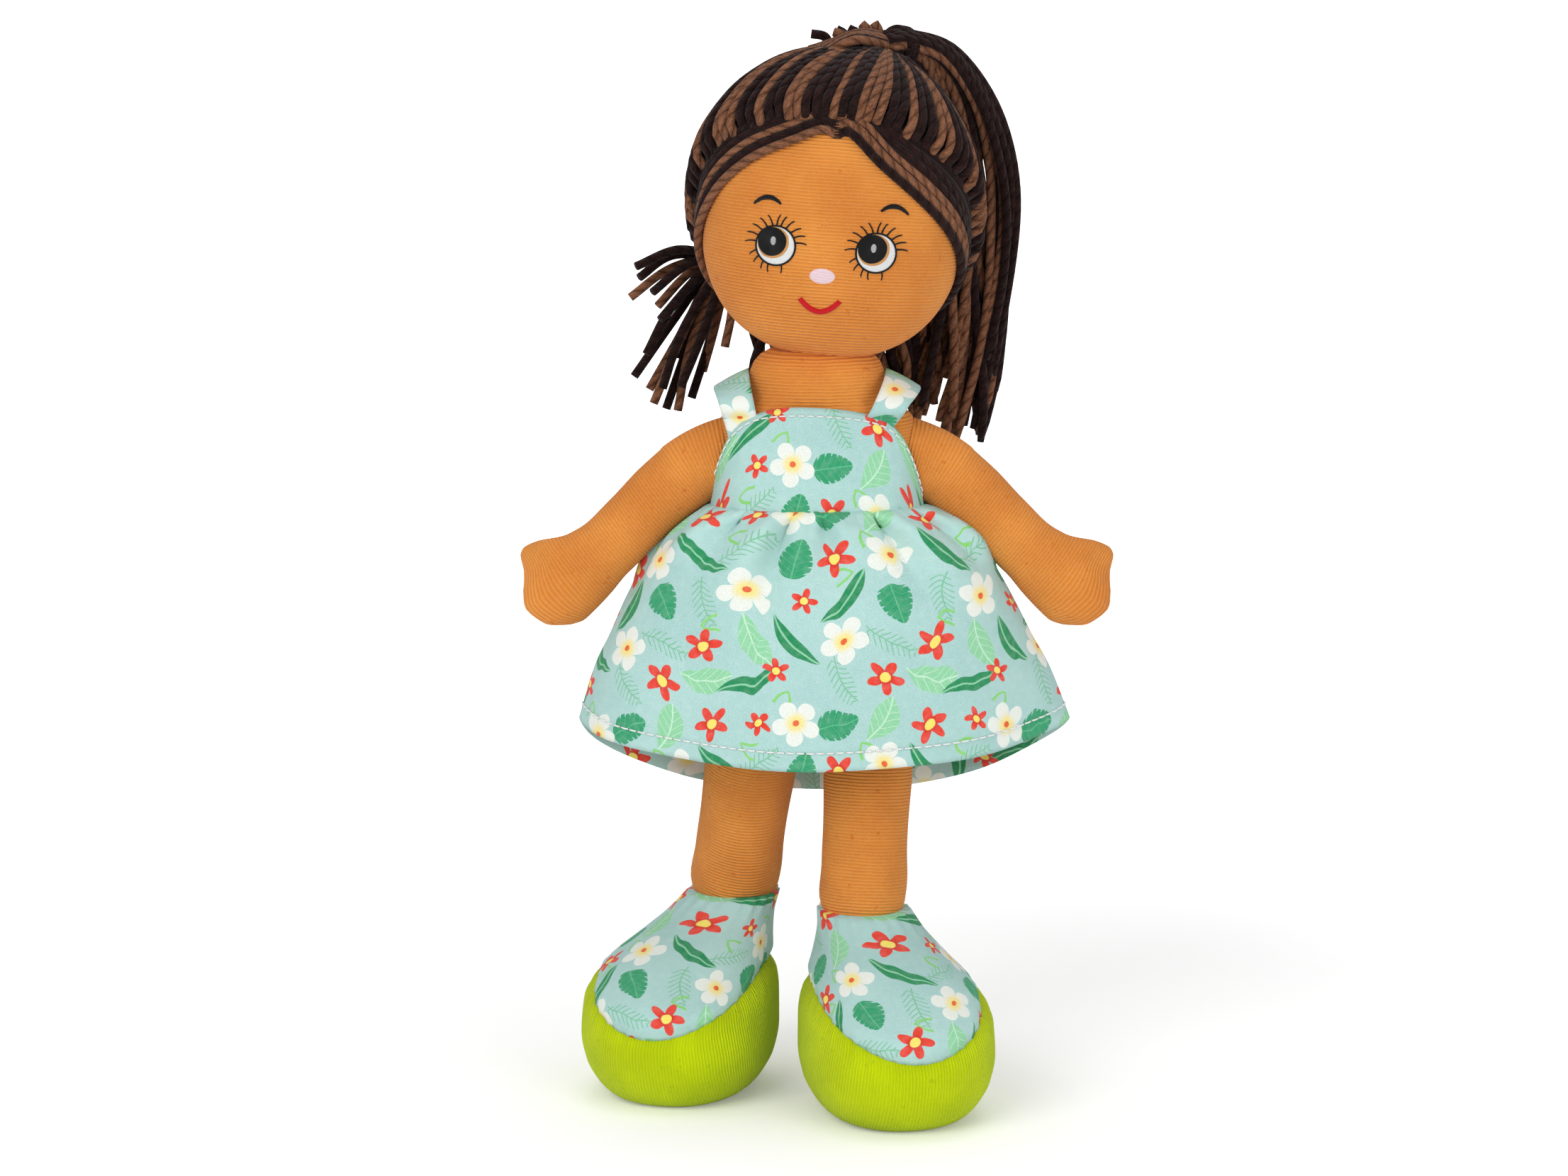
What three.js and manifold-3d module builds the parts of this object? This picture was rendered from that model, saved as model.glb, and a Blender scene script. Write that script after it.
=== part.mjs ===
// A stuffed cloth rag doll, 35 cm tall, in a pinafore dress and soft shoes, with yarn hair.
// Millimetres, +Z up, the doll faces -Y. "left" and "right" are the doll's own sides, so left is +X.
// The knit covers are thin bags over loose fibre stuffing. The limbs are sewn on at rounded ends that
// turn in shallow sockets, which stands for the bending of the cloth at each sewn joint.
import * as THREE from 'three';
import { mergeVertices } from 'three/addons/utils/BufferGeometryUtils.js';
import Module from 'manifold-3d';

const wasm = await Module();
wasm.setup();

// Cloth thicknesses and clearances
const skinWall = 1; // brushed knit with its turned seam allowance
const clothWall = 0.8; // printed cotton, doubled at the seams
const threadWall = 0.6; // satin stitch standing on the face
const gap = 0.3; // air between pieces that rest on each other
const socketGap = 0.8; // running clearance round a limb's rounded end
const stuffingGap = 0.8; // air between a cover and its stuffing, where the cover curves
const footStuffingGap = 1.8; // more in the foot, which has a seam inside
const ankleGap = 0.98; // round the leg's end in the shoe, where it turns both ways

// Shoes and feet
const footHeight = 63; // floor to the ankle seam
const footHalfLength = 40;
const footHalfWidth = 31;
const heelBehindAnkle = 19;
const toeSeamHeight = 25; // where the shoe's sole piece meets the upper, at the toe
const sideSeamHeight = 42; // the same seam at the sides and heel
const rightFoot = { yaw: THREE.MathUtils.degToRad(-17), shift: -11 }; // toes turned out, foot set outwards
const leftFoot = { yaw: THREE.MathUtils.degToRad(12), shift: 5.5 };

// Legs
const legRadius = 14.2;
const hipSpacing = 36;
const rightAnkle = { x: -27, y: 19 }; // where each ankle stands on plan
const leftAnkle = { x: 15, y: -7 };
const ankleRimAngle = THREE.MathUtils.degToRad(22); // how far below the ankle's centre the shoe stops

// Torso and neck
const torsoBottom = 148; // floor to the seat
const torsoHeight = 80;
const torsoHalfWidth = 32.5;
const torsoHalfDepth = 20;
const neckHalfWidth = 20;
const neckHalfDepth = 15;
const neckHeight = 5; // from the torso's top to the centre that the head nods about

// Head
const headHalfWidth = 42;
const headHalfDepth = 33;
const headHalfHeight = 47;
const chinHeight = 11; // above the nod centre, and below the neck's top
const headTilt = THREE.MathUtils.degToRad(4); // leans to the doll's left
const headYaw = THREE.MathUtils.degToRad(-3); // looks to the doll's right
const headRoundness = 2.3; // power of the section curve, 2 is an ellipse

// Arms
const armRootRadius = 11.5;
const armRootHalfDepth = 9.5;
const armLength = 63; // from the shoulder's centre to the finger ends
const handHalfWidth = 14.3;
const handHalfDepth = 8;
const shoulderDrop = 23; // below the torso's top
const armDroop = THREE.MathUtils.degToRad(39); // below the horizontal
const lowestArm = THREE.MathUtils.degToRad(42); // the droop where an arm meets the dress
const thumbNotch = 3.5; // depth of the dent between thumb and fingers

// Dress
const bodiceHeight = 33; // waist seam to the top edge in front
const bodiceBackHeight = 28;
const armholeHeight = 6; // waist seam to the armhole's lowest point
const waistBelowTop = 33; // below the torso's top
const dressGap = 1.4; // between the skin and the dress
const skirtHalfWidth = 79.5; // at the hem
const skirtHalfDepth = 40;
const skirtLength = 79.5; // waist to hem in front
const skirtSideRise = 9.5; // the hem is higher at the sides
const skirtBackDrop = 18; // and lower behind
const pleatCount = 11;
const pleatDepth = 2.2;
const strapWidth = 11;
const strapRise = 8; // above the torso's top, where the strap stands clear of the shoulder
const strapFootSpacing = 38;
const strapTopSpacing = 52;
const closureWidth = 9;

// Face embroidery, placed from the head's nod centre
const eyeSpacing = 31.8;
const eyeHeight = 47.6;
const eyeRadius = 6.3;
const pupilRadius = 4.6;
const pupilShift = { x: -1.5, z: 1.6 };
const glintRadius = 1.1;
const noseHeight = 39.2;
const noseHalfWidth = 4.1;
const noseHalfHeight = 2.5;
const mouthHeight = 31.4;
const mouthHalfWidth = 6.2;
const mouthSag = 3.5;
const mouthThickness = 1.4;
const browSpacing = 40.2;
const browAboveEye = 13.9;
const browHalfWidth = 4.2;
const browRise = 1.7;
const browThickness = 1.3;

// Hair
const wigThickness = 3; // the yarn layer laid on the scalp
const fringeThickness = 3.2; // the second layer, drawn up from the fringe seam to the crown
const hairlinePeak = 86; // above the nod centre
const fringeSeamPeak = 91;
const napeHeight = 16;
const ponytailRadius = 13;
const ponytailTieRadius = 4;
const ponytailFlatShare = 0.6;
const backHairHalfWidth = 28;
const backHairThickness = 12;
const hairEnd = -19; // the loose ends, from the nod centre
const tieThickness = 2;
const tuftRadius = 2.6;
const tieLength = 7; // of the ponytail's narrow root, which the elastic goes round
const tieDirection = new THREE.Vector3(0.6, 0.7, -0.3).normalize(); // sideways, back and a little down
const tuftPlaces = [[6, -3, 7], [12, 1, 4], [19, -2, 5]]; // out from the tie, back, and up

// Heights that follow from the sizes above
const ankleHeight = footHeight + legRadius * Math.sin(ankleRimAngle);
const hipHeight = torsoBottom - gap - legRadius;
const torsoTop = torsoBottom + torsoHeight;
const headRise = chinHeight + headHalfHeight; // from the nod centre to the head's centre
const browHeight = eyeHeight + browAboveEye;
const nodHeight = torsoTop + neckHeight;
const waistHeight = torsoTop - waistBelowTop;
const bodiceOuter = dressGap + clothWall; // how far the dress stands off the skin
const shoulderHeight = torsoTop - shoulderDrop;
const shoulderOut = torsoHalfWidth + bodiceOuter + armRootRadius * Math.sin(lowestArm) + gap;

const material = (color, roughness) => new THREE.MeshStandardMaterial({ color, roughness, metalness: 0 });
const finishes = {
  skin: material('#d98a3a', 0.95),
  stuffing: material('#f3f1ea', 1),
  print: material('#aedbdc', 0.85),
  sole: material('#b4d40c', 0.9),
  darkYarn: material('#33222a', 1),
  brownYarn: material('#6f4a34', 1),
  white: material('#f2f2f0', 0.6),
  black: material('#141416', 0.6),
  red: material('#c4141f', 0.6),
  pink: material('#eab9cb', 0.6),
  strip: material('#dfe9e6', 0.8),
};

const group = new THREE.Group();
const doll = new THREE.Group();
group.add(doll);

// Adds one named piece to a parent group.
function addPiece(parent, name, geometry, finish) {
  const mesh = new THREE.Mesh(geometry, finishes[finish]);
  mesh.name = name;
  parent.add(mesh);
  return mesh;
}

// Joins rows of points into one closed surface, from a start point over all rows to an end point,
// or round from the last row to the first when no points are given.
function skinOver(rows, startPoint, endPoint) {
  const count = rows[0].length;
  const points = rows.flat();
  const faces = [];
  const bandCount = startPoint ? rows.length - 1 : rows.length;
  for (let row = 0; row < bandCount; row++) {
    const next = (row + 1) % rows.length;
    for (let i = 0; i < count; i++) {
      const j = (i + 1) % count;
      const [a, b] = [row * count + i, row * count + j];
      const [c, d] = [next * count + i, next * count + j];
      faces.push(a, b, d, a, d, c);
    }
  }
  if (startPoint) {
    const last = (rows.length - 1) * count;
    points.push(startPoint, endPoint);
    for (let i = 0; i < count; i++) {
      const j = (i + 1) % count;
      faces.push(points.length - 2, j, i, points.length - 1, last + i, last + j);
    }
  }
  return facingOut(new THREE.BufferGeometry().setFromPoints(points).setIndex(faces));
}

// Turns a closed surface's faces outwards, by the sign of its volume.
function facingOut(geometry) {
  const position = geometry.getAttribute('position');
  const index = geometry.getIndex().array;
  const [a, b, c] = [new THREE.Vector3(), new THREE.Vector3(), new THREE.Vector3()];
  let volume = 0;
  for (let i = 0; i < index.length; i += 3) {
    a.fromBufferAttribute(position, index[i]);
    b.fromBufferAttribute(position, index[i + 1]);
    c.fromBufferAttribute(position, index[i + 2]);
    volume += a.dot(b.cross(c));
  }
  if (volume < 0) {
    for (let i = 0; i < index.length; i += 3) [index[i + 1], index[i + 2]] = [index[i + 2], index[i + 1]];
  }
  return geometry;
}

// A geometry as a manifold-3d solid, and back.
function solidOf(geometry) {
  const bare = geometry.clone();
  bare.deleteAttribute('normal');
  bare.deleteAttribute('uv');
  const merged = mergeVertices(bare);
  return new wasm.Manifold(new wasm.Mesh({
    numProp: 3,
    vertProperties: merged.getAttribute('position').array,
    triVerts: new Uint32Array(merged.getIndex().array),
  }));
}

function geometryOf(solid) {
  const mesh = solid.getMesh();
  const geometry = new THREE.BufferGeometry();
  geometry.setAttribute('position', new THREE.BufferAttribute(mesh.vertProperties, mesh.numProp));
  return geometry.setIndex(new THREE.BufferAttribute(mesh.triVerts, 1));
}

const cut = (geometry, ...cutters) =>
  geometryOf(cutters.reduce((solid, cutter) => solid.subtract(solidOf(cutter)), solidOf(geometry)));

// One closed curve of a superellipse, power 2 being an ellipse, at a height.
function sectionRing(count, halfWidth, halfDepth, height, power = 2, centre = { x: 0, y: 0 }) {
  return Array.from({ length: count }, (_, i) => {
    const angle = (i / count) * 2 * Math.PI;
    const [c, s] = [Math.cos(angle), Math.sin(angle)];
    const reach = (Math.abs(c) ** power + Math.abs(s) ** power) ** (-1 / power);
    return new THREE.Vector3(centre.x + halfWidth * reach * c, centre.y + halfDepth * reach * s, height);
  });
}

// A value read from a table of [place, value] rows, straight between the rows.
function along(table, place, column = 1) {
  const after = table.findIndex((row) => row[0] >= place);
  if (after < 0) return table[table.length - 1][column];
  if (after === 0) return table[0][column];
  const [low, high] = [table[after - 1], table[after]];
  return THREE.MathUtils.lerp(low[column], high[column], (place - low[0]) / (high[0] - low[0]));
}

const headColumns = 24;
const headLayers = 12;

// A rounded body with its axis along Z: the head, and the hair layers that lie over it.
function roundedHead(grow, columns, rowsCount) {
  const rows = [];
  for (let row = 1; row < rowsCount; row++) {
    const rise = Math.cos((row / rowsCount) * Math.PI);
    const spread = (1 - Math.abs(rise) ** headRoundness) ** (1 / headRoundness);
    const height = headRise + (headHalfHeight + grow) * rise;
    const [width, depth] = [(headHalfWidth + grow) * spread, (headHalfDepth + grow) * spread];
    rows.push(sectionRing(columns, width, depth, height, headRoundness));
  }
  const reach = headHalfHeight + grow;
  return skinOver(rows, new THREE.Vector3(0, 0, headRise + reach), new THREE.Vector3(0, 0, headRise - reach));
}

const ball = (radius, centre, columns = 16) =>
  new THREE.SphereGeometry(radius, columns, columns / 2).translate(centre.x, centre.y, centre.z);

// Feet: the height shares run from the floor to the ankle seam, with half length and half width shares.
const footShares = [
  [0, 0.84, 0.78], [0.08, 0.92, 0.89], [0.2, 0.98, 0.97], [0.34, 1, 1], [0.5, 0.97, 0.99],
  [0.64, 0.84, 0.9], [0.78, 0.66, 0.71], [0.9, 0.49, 0.56], [1, 0.385, 0.475],
];
const widestFootHeight = footHeight * footShares[3][0];
const footPower = 2.2;
const toeWidthShare = 0.1; // the toe half is wider than the heel half
const footColumns = 16;

function footPoint(angle, height, inset, shift) {
  const halfLength = footHalfLength * along(footShares, height / footHeight, 1);
  const halfWidth = footHalfWidth * along(footShares, height / footHeight, 2) - inset;
  const heelShare = Math.min(1, (footHeight - height) / (footHeight - sideSeamHeight));
  const heel = THREE.MathUtils.lerp(footHalfLength * footShares.at(-1)[1], heelBehindAnkle, heelShare);
  const centre = height < widestFootHeight ? heelBehindAnkle - footHalfLength : heel - halfLength;
  const [toe, side] = [Math.cos(angle), Math.sin(angle)];
  const reach = (Math.abs(toe) ** footPower + Math.abs(side) ** footPower) ** (-1 / footPower);
  return new THREE.Vector3(
    shift * heelShare + halfWidth * reach * side * (1 + toeWidthShare * toe),
    centre - (halfLength - inset) * reach * toe,
    height,
  );
}

// The seam's height round the foot, low at the toe and level from the sides back.
function seamHeight(angle) {
  const sideShare = Math.cos(angle) > 0 ? Math.sin(angle) ** 2 : 1;
  return THREE.MathUtils.lerp(toeSeamHeight, sideSeamHeight, sideShare);
}

function footRow(shift, share, inset, from, to) {
  return Array.from({ length: footColumns }, (_, i) => {
    const angle = (i / footColumns) * 2 * Math.PI;
    return footPoint(angle, THREE.MathUtils.lerp(from(angle), to(angle), share), inset, shift);
  });
}

const rowShares = (count) => Array.from({ length: count + 1 }, (_, i) => i / count);

function buildFoot(side, ankle, { yaw, shift }) {
  const foot = new THREE.Group();
  foot.position.set(ankle.x, ankle.y, 0);
  foot.rotation.z = yaw;
  doll.add(foot);
  const rim = () => footHeight;
  const overSeam = (angle) => seamHeight(angle) + gap;
  const soleRows = rowShares(4);
  const outerSole = soleRows.map((share) => footRow(shift, share, 0, () => 0, seamHeight));
  const innerSole = soleRows.map((share) => footRow(shift, share, skinWall, () => skinWall, seamHeight)).reverse();
  const floorCentre = new THREE.Vector3(shift, outerSole[0][0].y / 2, 0);
  const innerCentre = floorCentre.clone().setZ(skinWall);
  addPiece(foot, `${side}_shoe_sole`, skinOver([...outerSole, ...innerSole], floorCentre, innerCentre), 'sole');

  const upperRows = rowShares(4);
  const outerUpper = upperRows.map((share) => footRow(shift, share, 0, overSeam, rim));
  const innerUpper = upperRows.map((share) => footRow(shift, share, clothWall, overSeam, rim)).reverse();
  addPiece(foot, `${side}_shoe_upper`, skinOver([...outerUpper, ...innerUpper]), 'print');

  const inset = skinWall + footStuffingGap;
  const stuffingTop = () => footHeight - gap;
  const coreFloor = () => skinWall + gap;
  const lowerCore = soleRows.map((share) => footRow(shift, share, inset, coreFloor, seamHeight));
  const upperCore = upperRows.slice(1).map((share) => footRow(shift, share, inset, overSeam, stuffingTop));
  const coreTop = new THREE.Vector3(0, 0, stuffingTop());
  const stuffing = skinOver([...lowerCore, ...upperCore], floorCentre.clone().setZ(coreFloor()), coreTop);
  const legEnd = ball(legRadius + ankleGap, { x: 0, y: 0, z: ankleHeight });
  addPiece(foot, `${side}_foot_stuffing`, cut(stuffing, legEnd), 'stuffing');
}

// Limbs hang along -Z from their joint's centre. A limb is a bag with a gathered hole at its root.
const rootAngleShares = [0.12, 0.45, 0.75, 1]; // of a quarter turn, from the gathered hole down the dome

function limbRows(inset, columns, rootRadius, rootDepth, stations) {
  const dome = rootAngleShares.map((share) => {
    const angle = (share * Math.PI) / 2;
    const [radius, depth] = [(rootRadius - inset) * Math.sin(angle), (rootDepth - inset) * Math.sin(angle)];
    return sectionRing(columns, radius, depth, (rootRadius - inset) * Math.cos(angle));
  });
  const body = stations.map((s) =>
    sectionRing(columns, s.width - inset, s.depth - inset, -s.down, 2, { x: s.shift, y: 0 }).map((p) => {
      p.z += (s.endShape ? s.endShape(p.x) : 0) + (s.closing ? inset : 0);
      return p;
    }));
  return [...dome, ...body];
}

function limbPieces(parent, name, columns, rootRadius, rootDepth, stations, tip) {
  const outer = limbRows(0, columns, rootRadius, rootDepth, stations).reverse();
  const inner = limbRows(skinWall, columns, rootRadius, rootDepth, stations);
  const innerTip = tip.clone().add(new THREE.Vector3(0, 0, skinWall));
  addPiece(parent, `${name}_cover`, skinOver([...outer, ...inner], tip, innerTip), 'skin');
  const inset = skinWall + stuffingGap;
  const core = limbRows(inset, columns, rootRadius, rootDepth, stations);
  const coreTop = new THREE.Vector3(0, 0, core[0][0].z);
  const coreTip = tip.clone().add(new THREE.Vector3(0, 0, inset));
  addPiece(parent, `${name}_stuffing`, skinOver(core, coreTop, coreTip), 'stuffing');
}

// A leg: a tube between two domes, one in the hip and one in the shoe.
const legColumns = 12;
function buildLeg(side, hipX, ankle) {
  const hip = new THREE.Vector3(hipX, 0, hipHeight);
  const down = new THREE.Vector3(ankle.x, ankle.y, ankleHeight).sub(hip);
  const leg = new THREE.Group();
  leg.position.copy(hip);
  leg.quaternion.setFromUnitVectors(new THREE.Vector3(0, 0, -1), down.clone().normalize());
  doll.add(leg);
  const length = down.length();
  const shaft = [0.5, 1].map((share) => ({ down: length * share, width: legRadius, depth: legRadius, shift: 0 }));
  const end = rootAngleShares.slice(0, -1).reverse().map((share) => {
    const angle = (share * Math.PI) / 2;
    const radius = legRadius * Math.sin(angle);
    return { down: length + legRadius * Math.cos(angle), width: radius, depth: radius, shift: 0, closing: true };
  });
  const tip = new THREE.Vector3(0, 0, -length - legRadius);
  limbPieces(leg, `${side}_leg`, legColumns, legRadius, legRadius, [...shaft, ...end], tip);
}

// An arm: it widens to a mitten hand whose end slants, with a dent between thumb and fingers.
// Rows are [length share, half width share, half depth share, shift share of the hand's half width].
const armShares = [
  [0.16, 0.76, 1.16, 0], [0.36, 0.8, 1.2, 0.02], [0.58, 0.88, 1.24, 0.06], [0.74, 1, 1.16, 0.12],
  [0.87, 1.04, 1, 0.16], [0.95, 0.9, 0.78, 0.18], [0.99, 0.55, 0.5, 0.18],
];
const notchPlaceShare = 0.5; // of the hand's half width, towards the thumb
const notchWidthShare = 0.22;
const slantShare = 0.34; // how much further the fingers reach than the thumb
const armColumns = 14;

function buildArm(side, sideSign) {
  const arm = new THREE.Group();
  arm.position.set(sideSign * shoulderOut, 0, shoulderHeight);
  arm.rotation.y = -sideSign * (Math.PI / 2 - armDroop);
  doll.add(arm);
  const notchX = sideSign * notchPlaceShare * handHalfWidth;
  const endShape = (share) => (x) => {
    const hand = THREE.MathUtils.smoothstep(share, armShares[3][0], 1);
    const dent = thumbNotch * Math.exp(-(((x - notchX) / (notchWidthShare * handHalfWidth)) ** 2));
    return hand * (dent + slantShare * (sideSign * x));
  };
  const stations = armShares.map(([lengthShare, widthShare, depthShare, shiftShare]) => ({
    down: lengthShare * armLength,
    width: widthShare * handHalfWidth,
    depth: depthShare * handHalfDepth,
    shift: -sideSign * shiftShare * handHalfWidth,
    endShape: endShape(lengthShare),
    closing: lengthShare > armShares[4][0],
  }));
  const tipX = stations.at(-1).shift;
  const tip = new THREE.Vector3(tipX, 0, -armLength + endShape(1)(tipX));
  limbPieces(arm, `${side}_arm`, armColumns, armRootRadius, armRootHalfDepth, stations, tip);
}

// Torso: height shares from the seat to the neck seam, with half width and half depth shares.
const torsoShares = [
  [0, 0.74, 0.72], [0.06, 0.87, 0.86], [0.2, 0.98, 0.98], [0.45, 1, 1], [0.7, 1, 0.97],
  [0.86, 0.99, 0.89], [0.95, 0.94, 0.82], [1, 0.8, 0.77],
];
const torsoPower = 2.4;
const torsoColumns = 24;
const torsoRow = (row, inset) => sectionRing(
  torsoColumns,
  torsoHalfWidth * row[1] - inset,
  torsoHalfDepth * row[2] - inset,
  Math.min(torsoBottom + torsoHeight * row[0] + (row[0] === 0 ? inset : 0), torsoTop),
  torsoPower,
);

const shoulderBalls = [-1, 1].map((sign) =>
  ball(armRootRadius + socketGap, { x: sign * shoulderOut, y: 0, z: shoulderHeight }, 20));

function buildTorso() {
  const outer = torsoShares.map((row) => torsoRow(row, 0));
  const inner = torsoShares.map((row) => torsoRow(row, skinWall)).reverse();
  const seat = new THREE.Vector3(0, 0, torsoBottom);
  const innerSeat = new THREE.Vector3(0, 0, torsoBottom + skinWall);
  const cover = skinOver([...outer, ...inner], seat, innerSeat);
  addPiece(doll, 'torso_cover', cut(cover, ...shoulderBalls), 'skin');
  const inset = skinWall + stuffingGap;
  const core = torsoShares.map((row) => torsoRow(row, inset));
  const coreTop = new THREE.Vector3(0, 0, torsoTop);
  const stuffing = skinOver(core, new THREE.Vector3(0, 0, torsoBottom + inset), coreTop);
  addPiece(doll, 'torso_stuffing', cut(stuffing, ...shoulderBalls), 'stuffing');
}

// The neck stump turns on the torso, and its rounded top lets the head nod.
function neckRows(grow) {
  const columns = 20;
  const dome = [1, 0.75, 0.5, 0.25].map((share) => {
    const angle = (share * Math.PI) / 2;
    const [width, depth] = [(neckHalfWidth + grow) * Math.sin(angle), (neckHalfDepth + grow) * Math.sin(angle)];
    return sectionRing(columns, width, depth, (neckHalfDepth + grow) * Math.cos(angle));
  });
  const seat = sectionRing(columns, neckHalfWidth + grow, neckHalfDepth + grow, gap - neckHeight - grow);
  const top = new THREE.Vector3(0, 0, neckHalfDepth + grow);
  return skinOver([seat, ...dome], new THREE.Vector3(0, 0, seat[0].z), top);
}

// Dress: a surface round the torso, by angle and height share, standing off by a distance.
const armholeShape = { front: [0.6, 3.1], back: [0.42, 4] }; // width as a share of a quarter turn, and squareness

function bodiceTopAt(angle) {
  const frontShare = (1 - Math.sin(angle)) / 2;
  const straight = THREE.MathUtils.lerp(bodiceBackHeight, bodiceHeight, frontShare);
  const [width, squareness] = Math.sin(angle) < 0 ? armholeShape.front : armholeShape.back;
  const sideShare = Math.exp(-((Math.abs(Math.sin(angle)) / width) ** squareness));
  return waistHeight + THREE.MathUtils.lerp(straight, armholeHeight, sideShare);
}

function aroundTorso(angle, height, standOff) {
  const share = (height - torsoBottom) / torsoHeight;
  const halfWidth = torsoHalfWidth * along(torsoShares, share, 1) + standOff;
  const halfDepth = torsoHalfDepth * along(torsoShares, share, 2) + standOff;
  const [c, s] = [Math.cos(angle), Math.sin(angle)];
  const reach = (Math.abs(c) ** torsoPower + Math.abs(s) ** torsoPower) ** (-1 / torsoPower);
  return new THREE.Vector3(halfWidth * reach * c, halfDepth * reach * s, height);
}

const ringAngles = (count) => Array.from({ length: count }, (_, i) => (i / count) * 2 * Math.PI);

function buildBodice() {
  const shares = rowShares(6);
  const row = (share, standOff) => ringAngles(torsoColumns).map((angle) =>
    aroundTorso(angle, THREE.MathUtils.lerp(waistHeight, bodiceTopAt(angle), share), standOff));
  const outer = shares.map((share) => row(share, bodiceOuter));
  const inner = shares.map((share) => row(share, dressGap)).reverse();
  addPiece(doll, 'dress_bodice', cut(skinOver([...outer, ...inner]), ...shoulderBalls), 'print');
}

// A curved strip that lies on the back of the bodice: a plate between two stand-offs.
function backStrip(centreAngle, halfAngle, low, high, inner, outer) {
  const heights = [low, (low + high) / 2, high];
  const angles = [-1, 0, 1].map((k) => centreAngle + k * halfAngle);
  const rows = heights.map((height) => [
    ...angles.map((angle) => aroundTorso(angle, height, inner)),
    ...angles.map((angle) => aroundTorso(angle, height, outer)).reverse(),
  ]);
  const middle = (row) => row[1].clone().add(row[4]).divideScalar(2);
  return skinOver(rows, middle(rows[0]), middle(rows.at(-1)));
}

function buildClosure() {
  const halfAngle = closureWidth / 2 / torsoHalfDepth / 2;
  const [low, high] = [waistHeight + armholeHeight, waistHeight + bodiceBackHeight - clothWall];
  ['closure_loop_strip', 'closure_hook_strip', 'back_placket'].forEach((name, layer) => {
    const inner = bodiceOuter + gap + layer * (gap + clothWall);
    const spread = name === 'back_placket' ? 1.4 * halfAngle : halfAngle;
    const strip = backStrip(Math.PI / 2, spread, low, high, inner, inner + clothWall);
    addPiece(doll, name, strip, name === 'back_placket' ? 'print' : 'strip');
  });
}

// Skirt: gathered at the waist, it swells, then falls straight to a hem that dips before and behind.
// Rows are [length share, share of the way from waist to hem size, pleat share].
const skirtShares = [
  [0, 0.02, 0.1], [0.06, 0.17, 0.6], [0.16, 0.36, 1], [0.34, 0.52, 0.9], [0.62, 0.75, 0.55], [1, 1, 0.25],
];
const skirtColumns = 44;

function skirtPoint(angle, row, inset) {
  const [c, s] = [Math.cos(angle), Math.sin(angle)];
  const waist = { width: torsoHalfWidth + bodiceOuter, depth: torsoHalfDepth + bodiceOuter };
  const halfWidth = THREE.MathUtils.lerp(waist.width, skirtHalfWidth, row[1]);
  const halfDepth = THREE.MathUtils.lerp(waist.depth, skirtHalfDepth, row[1]);
  const pleat = pleatDepth * row[2] * Math.cos(pleatCount * (angle - Math.PI / 2));
  const power = THREE.MathUtils.lerp(torsoPower, 2, row[1]);
  const reach = (Math.abs(c) ** power + Math.abs(s) ** power) ** (-1 / power);
  const behind = Math.max(0, s);
  const fall = skirtLength + behind * skirtBackDrop - (1 - Math.abs(s)) * skirtSideRise;
  return new THREE.Vector3(
    (halfWidth + pleat - inset) * reach * c,
    (halfDepth + pleat - inset) * reach * s,
    waistHeight - gap - row[0] * fall,
  );
}

function buildSkirt() {
  const row = (shares, inset) => ringAngles(skirtColumns).map((angle) => skirtPoint(angle, shares, inset));
  const outer = skirtShares.map((shares) => row(shares, 0));
  const inner = skirtShares.map((shares) => row(shares, clothWall)).reverse();
  addPiece(doll, 'dress_skirt', skinOver([...outer, ...inner]), 'print');
}

// A strap lies on the bodice front, stands over the shoulder and ends on the bodice back.
const strapRouteShares = [ // [depth share, height share from the strap's foot to its top]
  [-1, 0], [-1, 0.35], [-1, 0.5], [-0.72, 0.85], [0, 1], [0.72, 0.85], [1, 0.5], [1, 0.35], [1, 0],
];
const strapFootShare = 0.6; // of the strap's rise, up to which it lies on the bodice
const strapLeastDepthShare = 0.82; // where the bodice falls away under the strap's outer edge

function bodiceDepth(x, height, standOff) {
  const share = (height - torsoBottom) / torsoHeight;
  const halfWidth = torsoHalfWidth * along(torsoShares, share, 1) + standOff;
  const halfDepth = torsoHalfDepth * along(torsoShares, share, 2) + standOff;
  return halfDepth * Math.max(0, 1 - Math.abs(x / halfWidth) ** torsoPower) ** (1 / torsoPower);
}

function buildStrap(side, sideSign) {
  const base = waistHeight + bodiceBackHeight - strapWidth / 2;
  const rise = torsoTop + strapRise - base;
  const rows = strapRouteShares.map(([depthShare, heightShare]) => {
    const height = base + rise * heightShare;
    const centre = THREE.MathUtils.lerp(strapFootSpacing, strapTopSpacing, heightShare) / 2;
    const places = [-1, 0, 1].map((k) => centre + (k * strapWidth) / 2);
    const onBodice = heightShare < strapFootShare;
    const archDepth = bodiceDepth(strapFootSpacing / 2, base, bodiceOuter + gap);
    const out = new THREE.Vector3(0, depthShare * archDepth, onBodice ? 0 : heightShare * rise).normalize();
    const least = archDepth * strapLeastDepthShare;
    const depthAt = (x) => Math.max(least, bodiceDepth(x, height, bodiceOuter + gap));
    const under = places.map((x) =>
      new THREE.Vector3(sideSign * x, depthShare * (onBodice ? depthAt(x) : archDepth), height));
    return [...under, ...under.map((p) => p.clone().addScaledVector(out, clothWall)).reverse()];
  });
  const middle = (row) => row[1].clone().add(row[4]).divideScalar(2);
  addPiece(doll, `${side}_strap`, skinOver(rows, middle(rows[0]), middle(rows.at(-1))), 'print');
}

// Face: pieces lie on the head's front. The depth of the head's surface at a place on the face:
function faceDepth(x, z) {
  const [u, v] = [Math.abs(x) / headHalfWidth, Math.abs(z - headRise) / headHalfHeight];
  return -headHalfDepth * (1 - u ** headRoundness - v ** headRoundness) ** (1 / headRoundness);
}

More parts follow.
